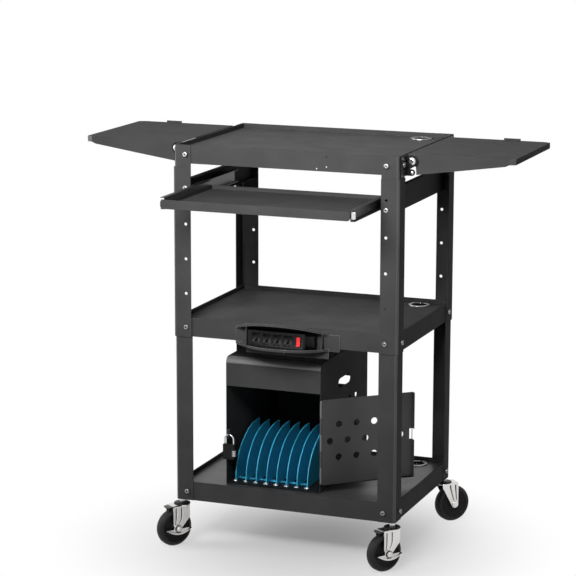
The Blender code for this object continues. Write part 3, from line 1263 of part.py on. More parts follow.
# Cabinet floor: a shallow upturned pan with a row of slots for cords
floor_top = cabinet_low + CABINET_FLOOR_LIP
floor_low_x, floor_high_x = left_in + FIT, right_in - FIT
floor_front, floor_back = CABINET_FRONT, CABINET_BACK - sheet - FIT
pan = box((floor_low_x, floor_front, cabinet_low), (floor_high_x, floor_back, floor_top))
cabinet_floor = piece("cabinet_floor", pan, BLACK_COAT)
cut(
    cabinet_floor,
    box(
        (floor_low_x + sheet, floor_front + sheet, cabinet_low - OVERRUN),
        (floor_high_x - sheet, floor_back - sheet, floor_top - sheet),
    ),
)
slot_xs = [CABINET_LEFT + FLOOR_SLOT_FIRST + FLOOR_SLOT_PITCH * i for i in range(FLOOR_SLOTS)]
slot_y = CABINET_FRONT + FLOOR_SLOT_BACK
floor_slots = []
for x in slot_xs:
    outline = slot_outline(x, slot_y, FLOOR_SLOT_LENGTH, FLOOR_SLOT_WIDTH, FLOOR_SLOT_STEPS)
    floor_slots.append(sheet_xy(outline, cabinet_low + FIT, floor_top + OVERRUN))
cut(cabinet_floor, *floor_slots)

# Divider rack: fins with a quarter-ellipse front, tied by two low bars
fin_low = floor_top + FIT
fin_front = CABINET_FRONT + FIN_FRONT
fin_turns = [math.radians(90 * i / FIN_STEPS) for i in range(FIN_STEPS + 1)]
fin_rise = [
    (fin_front + FIN_DEPTH * (1 - math.cos(t)), fin_low + FIN_FOOT + (FIN_HEIGHT - FIN_FOOT) * math.sin(t))
    for t in fin_turns
]
fin_back = fin_front + FIN_DEPTH + FIN_BACK
fin_outline = [(fin_front, fin_low), *fin_rise, (fin_back, fin_low + FIN_HEIGHT), (fin_back, fin_low)]
half_fin = FIN_SHEET / 2
bar_low_x, bar_high_x = slot_xs[0], slot_xs[-1]
bars = [
    box((bar_low_x, y, fin_low), (bar_high_x, y + RACK_BAR_WIDTH, fin_low + RACK_BAR_HEIGHT))
    for y in (fin_front + FIN_FRONT, fin_front + FIN_DEPTH - RACK_BAR_WIDTH)
]
rack = piece("divider_rack", together(*bars), BLUE_PLASTIC)
join(rack, *(sheet_yz(fin_outline, x - half_fin, x + half_fin) for x in slot_xs))

# Cabinet door, drawn along X from its hinge and turned open about it
door_frame = frame_at("door_hinge", (HINGE_X, HINGE_Y, 0), cart, (0, 0, DOOR_OPEN_HEADING))
half_door = DOOR_SHEET / 2
door_low, door_high = DOOR_BOTTOM, DOOR_BOTTOM + DOOR_HEIGHT
door = piece(
    "cabinet_door",
    box((HINGE_RADIUS + FIT, -half_door, door_low), (DOOR_WIDTH - half_door, half_door, door_high)),
    BLACK_COAT, door_frame,
)
flange_in, flange_end = DOOR_WIDTH - DOOR_SHEET, -DOOR_FLANGE
notch_low, notch_high = STAPLE_HEIGHT - STAPLE_NOTCH / 2, STAPLE_HEIGHT + STAPLE_NOTCH / 2
join(
    door,
    box((flange_in, flange_end, door_low), (DOOR_WIDTH, 0, notch_low)),
    box((flange_in, flange_end, notch_high), (DOOR_WIDTH, 0, door_high)),
)
tab_end = HINGE_RADIUS + DOOR_SHEET
tabs = [box((HINGE_TAB_START, -half_door, low), (tab_end, half_door, high)) for low, high in spans[1::2]]
join(door, *tabs)
join(door, *knuckle_tubes(0, 0, 1))
door_holes = [hinge_bore(0, 0)]
for row in range(VENT_ROWS):
    stagger = 1 - row % STAGGER_EVERY
    for i in range(VENT_COUNT - stagger):
        x = DOOR_VENT_FIRST + VENT_PITCH * (i + stagger / 2)
        z = DOOR_VENT_LOW + VENT_ROW_PITCH * row
        door_holes.append(rod((x, -DOOR_FLANGE, z), (x, DOOR_FLANGE, z), VENT_RADIUS, VENT_SIDES))
slot_low, slot_high = STAPLE_HEIGHT - DOOR_SLOT_HEIGHT / 2, STAPLE_HEIGHT + DOOR_SLOT_HEIGHT / 2
slot_half = DOOR_SLOT_WIDTH / 2
slot_left, slot_right = DOOR_SLOT_CENTRE - slot_half, DOOR_SLOT_CENTRE + slot_half
door_holes.append(box((slot_left, -DOOR_SHEET, slot_low), (slot_right, DOOR_SHEET, slot_high)))
cut(door, *door_holes)

# Staple for the padlock: a strip on the left wall, bent out through the door's slot
staple_in = left_in + FIT
staple_half = STAPLE_SHEET / 2
staple_left, staple_right = STAPLE_X - staple_half, STAPLE_X + staple_half
staple_front, staple_step = CABINET_FRONT, CABINET_FRONT + STAPLE_SHEET
staple_tip, staple_end = CABINET_FRONT - STAPLE_REACH, CABINET_FRONT + STAPLE_BASE
staple_outline = [
    (staple_in, staple_end), (staple_in, staple_front),
    (staple_left, staple_front), (staple_left, staple_tip),
    (staple_right, staple_tip), (staple_right, staple_step),
    (staple_in + STAPLE_SHEET, staple_step), (staple_in + STAPLE_SHEET, staple_end),
]
staple_low, staple_high = STAPLE_HEIGHT - STAPLE_TALL / 2, STAPLE_HEIGHT + STAPLE_TALL / 2
staple = piece("padlock_staple", sheet_xy(staple_outline, staple_low, staple_high), ZINC)
lock_y = staple_tip + STAPLE_HOLE_INSET
staple_hole = rod(
    (staple_left - OVERRUN, lock_y, STAPLE_HEIGHT), (staple_right + OVERRUN, lock_y, STAPLE_HEIGHT),
    STAPLE_HOLE_RADIUS, GROMMET_SIDES,
)
cut(staple, staple_hole)

# Padlock: a shackle that hangs in the staple's hole, and a body that drops off it when unlocked
wire_z = STAPLE_HEIGHT - STAPLE_HOLE_RADIUS + SHACKLE_WIRE + FIT
lock_frame = frame_at("padlock_swing", (STAPLE_X, lock_y, wire_z), cart)
bow_z = wire_z - SHACKLE_HALF_SPAN
body_top = bow_z - SHACKLE_RISE


def wire(points, radius):
    """A round wire along points, with flat ends: a curve with a bevel, turned into a mesh."""
    curve = bpy.data.curves.new("wire", "CURVE")
    curve.dimensions = "3D"
    curve.bevel_depth = radius
    curve.bevel_resolution = 2
    curve.use_fill_caps = True
    spline = curve.splines.new("POLY")
    spline.points.add(len(points) - 1)
    for point, place in zip(spline.points, points):
        point.co = (*place, 1)
    return from_curve(curve)


bend = [(x, lock_y, z) for x, z in arc(STAPLE_X, bow_z, SHACKLE_HALF_SPAN, 180, 0, SHACKLE_ARC_STEPS)]
foot = body_top - SHACKLE_SUNK
left_foot, right_foot = (bend[0][0], lock_y, foot), (bend[-1][0], lock_y, foot)
piece(
    "padlock_shackle", wire([left_foot, *bend, right_foot], SHACKLE_WIRE), CHROME, lock_frame,
)
half_w, half_d = LOCK_WIDTH / 2, LOCK_DEPTH / 2
body_outline = rounded(
    STAPLE_X - half_w, STAPLE_X + half_w, body_top - LOCK_TALL, body_top, LOCK_BEVEL, 2,
)
body_frame = frame_at("padlock_release", (STAPLE_X, lock_y, body_top), cart)
lock_body = piece(
    "padlock_body", sheet_xz(body_outline, lock_y - half_d, lock_y + half_d), BLACK_PLASTIC, body_frame,
)
hole_end = foot - OVERRUN
lock_holes = [
    rod((x, lock_y, body_top + OVERRUN), (x, lock_y, hole_end), SHACKLE_HOLE, GROMMET_SIDES)
    for x in (bend[0][0], bend[-1][0])
]
cut(lock_body, *lock_holes)
dial_x = STAPLE_X + half_w - DIAL_RADIUS + DIAL_PROUD
dials = []
for i in range(DIAL_COUNT):
    z = body_top - DIAL_MIDDLE_DROP + DIAL_PITCH * (i - (DIAL_COUNT - 1) / 2)
    dial_ends = (dial_x, lock_y, z - DIAL_THICK / 2), (dial_x, lock_y, z + DIAL_THICK / 2)
    dials.append(rod(*dial_ends, DIAL_RADIUS, HINGE_SIDES))
join(lock_body, *dials)


# Casters: a threaded stem in each corner, a fork that swivels on it, a wheel, and a brake pedal in front
def down_facing(y, spin):
    """A matrix whose Z axis is local Y and whose X axis points down, turned by spin."""
    axes = Matrix(((0, -1, 0, 0), (0, 0, 1, y), (-1, 0, 0, 0), (0, 0, 0, 1)))
    return axes @ Matrix.Rotation(spin, 4, "Z")


def fork_outline(crown_top, front, hip, foot):
    """One fork leg in X and Z: from the crown down to a round end about the axle."""
    low = arc(CASTER_TRAIL, AXLE_Z, FORK_BOSS_RADIUS, 0, FORK_ROUND_END, FORK_ROUND_STEPS)
    start = [(front, crown_top), (front, AXLE_Z + foot)] if foot else [(front, crown_top)]
    return [*start, *low, (-CROWN_BACK, crown_top - hip), (-CROWN_BACK, crown_top)]


def make_caster(corner, sx, sy):
    braked = sy < 0
    stem_x, stem_y = sx * STEM_X, sy * STEM_Y
    nut_low = -FIT - STEM_NUT_HEIGHT
    race_low = nut_low - RACE_HEIGHT
    crown_top = race_low - FIT
    crown_low = crown_top - CROWN_HEIGHT
    pin_end = crown_low - FIT
    stem = [
        (0, STEM_UP), (STEM_RADIUS, STEM_UP), (STEM_RADIUS, -FIT), (STEM_NUT_RADIUS, -FIT),
        (STEM_NUT_RADIUS, nut_low), (RACE_RADIUS, nut_low), (RACE_RADIUS, race_low),
        (KING_PIN_RADIUS, race_low), (KING_PIN_RADIUS, pin_end), (KING_PIN_HEAD_RADIUS, pin_end),
        (KING_PIN_HEAD_RADIUS, pin_end - KING_PIN_HEAD), (0, pin_end - KING_PIN_HEAD),
    ]
    stem_place = Matrix.Translation((stem_x, stem_y, 0))
    turned(f"caster_stem_{corner}", stem, AXLE_SIDES, CHROME, cart, stem_place, closed=False)

    heading = FRONT_HEADING if braked else REAR_HEADING
    swivel = frame_at(f"caster_swivel_{corner}", (stem_x, stem_y, 0), cart, (0, 0, heading))
    half_gap = WHEEL_HUB_WIDTH / 2 + FORK_GAP
    half_out = half_gap + FORK_SHEET
    front = CASTER_TRAIL + FORK_BOSS_RADIUS + (BRAKE_FORK_EXTRA if braked else 0)
    hip = FRONT_HIP_DROP if braked else REAR_HIP_DROP
    outline = fork_outline(crown_top, front, hip, BRAKE_FORK_FOOT if braked else 0)
    fork = piece(f"caster_fork_{corner}", sheet_xz(outline, -half_out, half_out), CHROME, swivel)
    low, reach = AXLE_Z - WHEEL_RADIUS, CASTER_TRAIL + WHEEL_RADIUS
    cut(fork, box((-reach, -half_gap, low), (reach, half_gap, crown_low)))
    cut(fork, rod((0, 0, crown_low - OVERRUN), (0, 0, crown_top + OVERRUN), CROWN_HOLE_RADIUS, AXLE_SIDES))
    near = half_out + (FIT * 2 + PEDAL_PLATE if braked else -FORK_SHEET / 2)
    far = half_out - FORK_SHEET / 2
    axle = [
        (0, near + AXLE_HEAD_HEIGHT), (AXLE_HEAD_RADIUS, near + AXLE_HEAD_HEIGHT), (AXLE_HEAD_RADIUS, near),
        (AXLE_RADIUS, near), (AXLE_RADIUS, -far), (AXLE_HEAD_RADIUS, -far),
        (AXLE_HEAD_RADIUS, -half_out - AXLE_HEAD_HEIGHT), (0, -half_out - AXLE_HEAD_HEIGHT),
    ]
    axle_place = Matrix.Translation((CASTER_TRAIL, 0, AXLE_Z)) @ down_facing(0, 0)
    join(fork, turned_shape(axle, AXLE_SIDES, axle_place))
    if braked:
        shoe_start = CROWN_BACK + FORK_BOSS_RADIUS
        shoe_low = crown_low + FIT
        shoe_high = shoe_low + SHOE_THICK
        join(fork, box((shoe_start, -SHOE_HALF_WIDTH, shoe_low), (SHOE_END, SHOE_HALF_WIDTH, shoe_high)))

    spin = frame_at(f"caster_axle_{corner}", (CASTER_TRAIL, 0, AXLE_Z), swivel)
    flat_radius = WHEEL_RADIUS / math.cos(math.pi / WHEEL_STEPS)
    half_wheel, half_hub, half_web = WHEEL_WIDTH / 2, WHEEL_HUB_WIDTH / 2, WHEEL_WEB_WIDTH / 2
    shoulder = flat_radius - WHEEL_SHOULDER
    wheel = [
        (WHEEL_BORE, half_hub), (WHEEL_HUB_RADIUS, half_hub), (WHEEL_HUB_RADIUS, half_web),
        (WHEEL_RIM_RADIUS, half_web), (WHEEL_RIM_RADIUS, half_wheel), (shoulder, half_wheel),
        (flat_radius, half_web), (flat_radius, -half_web), (shoulder, -half_wheel),
        (WHEEL_RIM_RADIUS, -half_wheel), (WHEEL_RIM_RADIUS, -half_web), (WHEEL_HUB_RADIUS, -half_web),
        (WHEEL_HUB_RADIUS, -half_hub), (WHEEL_BORE, -half_hub),
    ]
    turned(
        f"caster_wheel_{corner}", wheel, WHEEL_STEPS, RUBBER, spin, down_facing(0, math.pi / WHEEL_STEPS),
    )
    if braked:
        make_pedal(corner, swivel, half_out + FIT)


def make_pedal(corner, swivel, inner_y):
    """A crescent foot plate round the axle, outside the fork leg."""
    frame = frame_at(f"brake_pedal_hinge_{corner}", (CASTER_TRAIL, 0, AXLE_Z), swivel)
    shares = [2 * i / PEDAL_STEPS - 1 for i in range(PEDAL_STEPS + 1)]
    upper = [(PEDAL_HALF_LENGTH * t, -PEDAL_SAG * (1 - t * t)) for t in shares]
    deeper = PEDAL_SAG + PEDAL_MIDDLE_EXTRA
    lower = [(PEDAL_HALF_LENGTH * t, -PEDAL_TIP - deeper * (1 - t * t)) for t in reversed(shares)]
    crescent = sheet_xz(upper + lower, inner_y, inner_y + PEDAL_WIDTH)
    pedal = piece(f"brake_pedal_{corner}", crescent, CHROME, frame)
    plate_end = inner_y + PEDAL_PLATE
    join(pedal, rod((0, inner_y, 0), (0, plate_end, 0), PEDAL_BOSS_RADIUS, GROMMET_SIDES))
    cut(pedal, rod((0, inner_y - OVERRUN, 0), (0, plate_end + OVERRUN, 0), PEDAL_BORE, GROMMET_SIDES))


for corner_name, (corner_x, corner_y) in CORNERS.items():
    make_caster(corner_name, corner_x, corner_y)

# Centre the whole on its bounding box, with its wheels on the floor
bpy.context.view_layer.update()
graph = bpy.context.evaluated_depsgraph_get()
points = []
for obj in parts.objects:
    if obj.type == "MESH":
        final = obj.evaluated_get(graph)
        points += [final.matrix_world @ vertex.co for vertex in final.data.vertices]
lows = [min(point[axis] for point in points) for axis in range(3)]
highs = [max(point[axis] for point in points) for axis in range(3)]
cart.location.x -= (lows[0] + highs[0]) / 2
cart.location.y -= (lows[1] + highs[1]) / 2
cart.location.z -= lows[2]
bpy.context.view_layer.update()
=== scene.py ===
# %% [markdown]
# # An audio visual cart, dressed for its portrait
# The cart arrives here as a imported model: sixty plain solids that already stand where they belong and
# already move on their joints. This lesson gives them their looks. Sheet steel gets rounded edges and a
# powder coat, the casters get turned wheels and pressed forks, and small fittings get the detail that
# a camera sees: bolt heads with their sockets, slit rubber flaps, number wheels.
#
# Each step first says what the real piece is and how it could be made, and then makes it.

# %% Load the frame
import json
import math

import bmesh
import bpy
from mathutils import Matrix, Vector


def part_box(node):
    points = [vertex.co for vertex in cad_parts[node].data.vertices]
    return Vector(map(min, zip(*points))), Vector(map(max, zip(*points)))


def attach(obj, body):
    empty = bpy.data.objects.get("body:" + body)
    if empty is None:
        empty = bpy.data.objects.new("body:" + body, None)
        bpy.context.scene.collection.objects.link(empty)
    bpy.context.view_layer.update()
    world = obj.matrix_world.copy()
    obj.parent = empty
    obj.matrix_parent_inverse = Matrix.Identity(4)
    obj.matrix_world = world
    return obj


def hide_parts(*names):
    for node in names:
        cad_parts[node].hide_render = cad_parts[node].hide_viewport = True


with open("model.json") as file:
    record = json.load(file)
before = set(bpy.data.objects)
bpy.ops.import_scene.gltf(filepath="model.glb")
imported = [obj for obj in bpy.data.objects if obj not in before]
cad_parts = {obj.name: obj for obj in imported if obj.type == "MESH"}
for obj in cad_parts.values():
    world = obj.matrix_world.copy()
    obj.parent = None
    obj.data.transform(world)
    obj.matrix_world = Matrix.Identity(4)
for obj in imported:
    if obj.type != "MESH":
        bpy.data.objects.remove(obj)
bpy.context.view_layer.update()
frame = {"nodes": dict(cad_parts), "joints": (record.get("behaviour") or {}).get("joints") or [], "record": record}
joints = {joint["name"]: joint for joint in frame["joints"]}
slot_of = {part["node"]: part["material_slot"] for part in frame["record"]["subparts"]}
body_of = {node: body for body, nodes in frame["record"]["behaviour"]["bodies"].items() for node in nodes}
CORNERS = {"fl": (-1, -1), "fr": (1, -1), "rl": (-1, 1), "rr": (1, 1)}

# %% [markdown]
# ## A frame of reference
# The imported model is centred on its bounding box, and the pulled-out keyboard tray shifts that centre
# forwards. It is easier to think of the cart from its own middle, at the foot of its legs. Two boxes of
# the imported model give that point, so nothing is typed in twice.

# %% Find the middle of the cart
shelf_low, shelf_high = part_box("bottom_shelf")
leg_low, leg_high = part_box("lower_leg_fr")
CART = Vector((0, (shelf_low.y + shelf_high.y) / 2, leg_low.z))
LEG_X, LEG_Y = leg_high.x, CART.y - leg_low.y
print("cart middle:", [round(v, 4) for v in CART])

# %% [markdown]
# ## The camera
# The photograph was taken from the right of the front, slightly from above, with a long lens: the cart's
# uprights hardly lean together. The place, the turn and the focal length below were fitted to points of
# the cart that are easy to find in the picture, such as the feet of the legs and the corners of the
# trays. The shift means that the picture was cropped off its centre.

# %% Place the camera
FROM_CART = Vector((2.0855, -5.5933, 1.7623))
CAMERA_YAW, CAMERA_PITCH, CAMERA_ROLL = 0.3695, 0.1934, -0.0022
SENSOR_MM, LENS_MM = 36.0, 143.49
SHIFT_X, SHIFT_Y = -0.0011, -0.0284

scene = bpy.context.scene
camera_data = bpy.data.cameras.new("camera")
camera_data.sensor_width, camera_data.lens = SENSOR_MM, LENS_MM
camera_data.shift_x, camera_data.shift_y = SHIFT_X, SHIFT_Y
camera = bpy.data.objects.new("camera", camera_data)
camera.location = CART + FROM_CART
camera.rotation_euler = (math.pi / 2 - CAMERA_PITCH, CAMERA_ROLL, CAMERA_YAW)
scene.collection.objects.link(camera)
scene.camera = camera
print("camera: lens", LENS_MM, "mm")

# %% [markdown]
# ## Light
# A product picture is lit by large soft boxes, whose size is what makes the shadows soft. Here one hangs
# high in front, one stands on the left and one hangs above. The one in front wears a grid, which keeps
# its light on the upper half of the cart. Area lamps are made for this: they have a size, and their spread
# does what a grid does.

# %% Hang the lamps
scene.view_settings.view_transform = "Standard"
GRID, OPEN = math.radians(60), math.pi
# Each lamp: its place, the point that it looks at, its width and height, its power and its spread.
LAMPS = {
    "key_light": ((0.05, -2.0, 2.0), (0.08, 0, 1.05), 1.5, 0.8, 13, GRID),
    "fill_light": ((-2.4, -0.8, 1.4), (0, 0, 0.4), 1.4, 1.6, 28, OPEN),
    "top_light": ((-0.9, 0.5, 2.9), (0, 0, 0.4), 2.0, 2.0, 8, OPEN),
}
for name, (place, aim, width, height, power, spread) in LAMPS.items():
    data = bpy.data.lights.new(name, "AREA")
    data.shape = "RECTANGLE"
    data.size, data.size_y, data.energy, data.spread = width, height, power, spread
    lamp = bpy.data.objects.new(name, data)
    lamp.location = place
    lamp.rotation_euler = (Vector(aim) - Vector(place)).to_track_quat("-Z", "Y").to_euler()
    scene.collection.objects.link(lamp)
print("studio:", len(LAMPS), "lamps")

# %% [markdown]
# ## A white room
# The room is the world's colour. The lens and the reflections see it as pure white, but it lights
# the cart much less, so that the black coat keeps its depth. The Light Path node tells the two apart: it
# says which kind of ray is asking. The floor needs the same trick, so it goes in a function.

# %% Paint the room
ROOM_GLOW = 0.07


def white_to_the_lens(nodes, links, plain, white):
    """Mixes two shaders: the white one is seen by camera, glossy and transmission rays.

    It returns the mix and the Math node whose second number scales the white share."""

    def math_node(operation, first):
        node = nodes.new("ShaderNodeMath")
        node.operation = operation
        links.new(first, node.inputs[0])
        return node

    rays = nodes.new("ShaderNodeLightPath").outputs
    either = math_node("MAXIMUM", rays["Is Camera Ray"])
    links.new(rays["Is Glossy Ray"], either.inputs[1])
    any_of = math_node("MAXIMUM", either.outputs[0])
    links.new(rays["Is Transmission Ray"], any_of.inputs[1])
    share = math_node("MULTIPLY", any_of.outputs[0])
    share.inputs[1].default_value = 1.0
    mix = nodes.new("ShaderNodeMixShader")
    links.new(share.outputs[0], mix.inputs["Fac"])
    links.new(plain.outputs[0], mix.inputs[1])
    links.new(white.outputs[0], mix.inputs[2])
    return mix, share


world = bpy.data.worlds.new("studio")
scene.world = world
world.use_nodes = True
nodes, links = world.node_tree.nodes, world.node_tree.links
nodes.clear()
glow = nodes.new("ShaderNodeBackground")
glow.inputs["Strength"].default_value = ROOM_GLOW
seen = nodes.new("ShaderNodeBackground")
for background in (glow, seen):
    background.inputs["Color"].default_value = (1, 1, 1, 1)
out = nodes.new("ShaderNodeOutputWorld")
mix, share = white_to_the_lens(nodes, links, glow, seen)
links.new(mix.outputs[0], out.inputs["Surface"])
print("room: white, with a glow of", ROOM_GLOW)

# %% [markdown]
# ## The floor
# The floor is a pale disc far wider than the cart. Away from the cart the lens sees it as plain white, so
# that it melts into the room. Close to the cart it is an ordinary matt floor, which keeps the soft shadow.
# A smooth step on the distance from the cart's middle leads from one to the other.

# %% Lay the floor
FLOOR_REACH, FLOOR_SIDES, FLOOR_TONE = 30.0, 96, (0.88, 0.88, 0.885, 1)
MATT_WITHIN, WHITE_FROM = 0.05, 0.72
NEAR_WHITE, FAR_WHITE = 0.25, 1.0

bm = bmesh.new()
bmesh.ops.create_circle(bm, cap_ends=True, segments=FLOOR_SIDES, radius=FLOOR_REACH)
mesh = bpy.data.meshes.new("floor")
bm.to_mesh(mesh)
bm.free()
floor = bpy.data.objects.new("floor", mesh)
scene.collection.objects.link(floor)
floor_look = bpy.data.materials.new("pale_floor")
floor_look.use_nodes = True
nodes, links = floor_look.node_tree.nodes, floor_look.node_tree.links
nodes.clear()
matt = nodes.new("ShaderNodeBsdfDiffuse")
matt.inputs["Color"].default_value = FLOOR_TONE
lit = nodes.new("ShaderNodeEmission")
out = nodes.new("ShaderNodeOutputMaterial")
mix, share = white_to_the_lens(nodes, links, matt, lit)
place = nodes.new("ShaderNodeTexCoord")
distance = nodes.new("ShaderNodeVectorMath")
distance.operation = "LENGTH"
links.new(place.outputs["Object"], distance.inputs[0])
step = nodes.new("ShaderNodeMapRange")
step.interpolation_type = "SMOOTHSTEP"
step.inputs["From Min"].default_value, step.inputs["From Max"].default_value = MATT_WITHIN, WHITE_FROM
step.inputs["To Min"].default_value, step.inputs["To Max"].default_value = NEAR_WHITE, FAR_WHITE
links.new(distance.outputs["Value"], step.inputs["Value"])
links.new(step.outputs["Result"], share.inputs[1])
links.new(mix.outputs[0], out.inputs["Surface"])
mesh.materials.append(floor_look)
print("floor: white from", WHITE_FROM, "m")

# %% [markdown]
# ## Finishes
# Every finish starts from the same recipe: a base colour that wanders a little between two tones, a
# roughness that wanders too, and a fine bump. All three come from noise, which needs no unwrapping and has
# no seams. The numbers that are the same everywhere sit on the shader itself, and only what
# varies is wired up. All textures follow object coordinates, which here are metres.

# %% One recipe for every finish
TONES_BETWEEN = (0.3, 0.7)
PATCHES, PATCH_DETAIL = 14.0, 4.0
SHEEN_SHARE, SHEEN_DETAIL = 5, 3.0
GRAIN_DETAIL, BUMP_STRENGTH = 2.0, 0.5


def finish(name, tones, rough, metallic=0.0, grain=900.0, depth=0.00002, stretch=(1, 1, 1), **sockets):
    """A node material. Tones and rough are (low, high) pairs, grain is per metre, depth is in metres."""
    look = bpy.data.materials.new(name)
    look.use_nodes = True
    nodes, links = look.node_tree.nodes, look.node_tree.links
    shader = nodes["Principled BSDF"]
    place = nodes.new("ShaderNodeTexCoord")
    mapping = nodes.new("ShaderNodeMapping")
    mapping.inputs["Scale"].default_value = stretch
    links.new(place.outputs["Object"], mapping.inputs["Vector"])

    def noise(scale, detail):
        texture = nodes.new("ShaderNodeTexNoise")
        texture.inputs["Scale"].default_value = scale
        texture.inputs["Detail"].default_value = detail
        links.new(mapping.outputs["Vector"], texture.inputs["Vector"])
        return texture.outputs["Fac"]

    ramp = nodes.new("ShaderNodeValToRGB")
    for element, position, tone in zip(ramp.color_ramp.elements, TONES_BETWEEN, tones):
        element.position, element.color = position, (*tone, 1)
    links.new(noise(PATCHES, PATCH_DETAIL), ramp.inputs["Fac"])
    links.new(ramp.outputs["Color"], shader.inputs["Base Color"])

    sheen = nodes.new("ShaderNodeMapRange")
    sheen.inputs["To Min"].default_value, sheen.inputs["To Max"].default_value = rough
    links.new(noise(PATCHES * SHEEN_SHARE, SHEEN_DETAIL), sheen.inputs["Value"])
    links.new(sheen.outputs["Result"], shader.inputs["Roughness"])

    bump = nodes.new("ShaderNodeBump")
    bump.inputs["Strength"].default_value = BUMP_STRENGTH
    bump.inputs["Distance"].default_value = depth
    links.new(noise(grain, GRAIN_DETAIL), bump.inputs["Height"])
    links.new(bump.outputs["Normal"], shader.inputs["Normal"])

    shader.inputs["Metallic"].default_value = metallic
    for socket, value in sockets.items():
        shader.inputs[socket.replace("_", " ")].default_value = value
    return look


def greys(low, high, warmth=0.0):
    """Two grey tones, a little warm where warmth is above 0."""
    return [(value * (1 + warmth), value, value * (1 - warmth)) for value in (low, high)]


print("recipe: patches of about", round(1000 / PATCHES), "mm")

# %% [markdown]
# ### Black coats
# The steel has a satin black powder coat, with the skin of an orange: its grains are about a millimetre
# wide. Some faces have a variant of it. The deck of the bottom shelf and the slanted faces of the bends are
# glossier. The decks of the top tray and the middle shelf are lighter, which is painted sheen, and the
# bends of the cabinet shell are lighter still, a painted highlight, as are the edges of the strip's
# bracket. These are the same coat with other tones and another roughness. The leaf brackets and the
# padlock have a glossier black.

# %% Mix the coats
POWDER = {"grain": 1100, "depth": 0.00004, "Specular_IOR_Level": 0.015}
RUBBED = {"grain": 1100, "depth": 0.00003, "Specular_IOR_Level": 0.3}
LOOKS = {
    "black_coat": finish("satin_black_powder_coat", greys(0.050, 0.060), (0.54, 0.64), **POWDER),
    # The lighter deck tone below is painted sheen.
    "painted_sheen_deck": finish("painted_sheen_deck_of_the_coat", greys(0.064, 0.082), (0.54, 0.64), **POWDER),
    "polished_deck": finish("polished_deck_of_the_coat", greys(0.050, 0.060), (0.34, 0.44), **RUBBED),
    "polished_bend": finish("polished_bend_of_the_coat", greys(0.055, 0.065), (0.30, 0.38), **RUBBED),
    # A much lighter finish for the bends of the cabinet shell: a painted highlight.
    "painted_highlight_bend": finish("painted_highlight_bend_of_the_coat", greys(0.14, 0.16), (0.34, 0.42), **RUBBED),
    # A lighter, partly metallic edge finish for the strip's bracket: a painted highlight.
    "painted_highlight_edge": finish("painted_highlight_edge_of_the_coat", greys(0.13, 0.20), (0.30, 0.40), metallic=0.4),
    "ear_black": finish("gloss_black_bracket", greys(0.010, 0.014), (0.30, 0.40), Specular_IOR_Level=0.12),
    "lock_black": finish("black_lock_coat", greys(0.008, 0.012), (0.30, 0.42), Specular_IOR_Level=0.12),
}
print("coats:", len(LOOKS))

# %% [markdown]
# ### Bare metals
# Bolts, clips and casters are plated. Zinc and nickel are smooth, with faint rolling marks, which noise
# gives when it is stretched along one axis. The bolts low on the legs and on their sides have a darker
# tone, which is painted shade, and more roughness. A dark matt finish, no metal, is painted shade in
# grooves, sockets and recesses and on washers.

# %% Plate the metals
ROLLED = (1, 6, 1)
METALS = {
    "zinc": finish("bright_zinc", greys(0.62, 0.74), (0.22, 0.34), metallic=1.0, stretch=ROLLED),
    "chrome": finish("pressed_nickel", greys(0.60, 0.70, 0.02), (0.16, 0.26), metallic=1.0),
    "bolt_zinc": finish("bolt_zinc", greys(0.33, 0.42), (0.42, 0.52), metallic=1.0),
    # A darker copy of the bolt zinc, for the bolts low down and on the sides: painted shade.
    "shaded_zinc": finish("shaded_zinc", greys(0.16, 0.24), (0.38, 0.50), metallic=1.0),
    "grommet_zinc": finish("grommet_zinc", greys(0.22, 0.30), (0.24, 0.34), metallic=1.0),
    "dial_grey": finish("dial_grey", greys(0.40, 0.50), (0.30, 0.42), metallic=1.0),
    "black_zinc": finish("black_slide_zinc", greys(0.012, 0.020), (0.34, 0.46), stretch=ROLLED),
    # A dark matt finish for groove floors, socket floors, pivot recesses and axle washers: painted shade.
    "painted_recess_shade": finish("painted_shade_in_recesses", greys(0.02, 0.04), (0.5, 0.7)),
}
LOOKS |= METALS
print("metals:", len(METALS))

# %% [markdown]
# ### Plastics and rubber
# Moulded plastic takes the fine texture of its mould. The dividers are a satin blue, and the rocker of
# the power strip is a strong red. Rubber is matt, with a coarser skin. Wheels and flaps are both
# rubber, but the flaps lie in the shade of their holes, so their rubber is darker: painted shade.

# %% Mould the plastics
RED, BLUE = ((0.75, 0.015, 0.02), (0.85, 0.03, 0.035)), ((0.03, 0.38, 0.62), (0.04, 0.45, 0.70))
TYRE = {"grain": 600, "depth": 0.00005, "Specular_IOR_Level": 0.25}
CASING = {"grain": 1600, "Specular_IOR_Level": 0.15}
PLASTICS = {
    "black_plastic": finish("textured_black_plastic", greys(0.008, 0.012), (0.34, 0.44), **CASING),
    "red_plastic": finish("glowing_red_plastic", RED, (0.18, 0.26)),
    "blue_plastic": finish("satin_blue_plastic", BLUE, (0.32, 0.42)),
    "wheel_rubber": finish("moulded_rubber", greys(0.010, 0.015), (0.50, 0.64), **TYRE),
    # The flaps' rubber is darker than the wheels' rubber: painted shade.
    "shaded_rubber": finish("matt_black_rubber_in_painted_shade", greys(0.004, 0.007), (0.7, 0.8), Specular_IOR_Level=0.1),
}
LOOKS |= PLASTICS
print("plastics and rubber:", len(PLASTICS))

# %% [markdown]
# ## Making pieces
# `add_piece` turns a bmesh into an object that shades smoothly across gentle bends and sharply across
# folds, and ties it to its body. `bevelled` rounds the folds, as every real edge is. A bevel alone
# makes the flats beside it shade as if they were curved, so the normals are weighted by area: the
# large faces then stay flat.

# %% Make a piece from a mesh
SHARP = math.radians(32)
BEVEL_STEPS = 2


def bevelled(piece, width):
    """Rounds every fold of a piece, and lets the large faces set the shading."""
    bevel = piece.modifiers.new("rounded_edges", "BEVEL")
    bevel.width, bevel.segments = width, BEVEL_STEPS
    bevel.limit_method, bevel.angle_limit = "ANGLE", SHARP
    bevel.use_clamp_overlap = False
    flats = piece.modifiers.new("flat_faces", "WEIGHTED_NORMAL")
    flats.keep_sharp = True


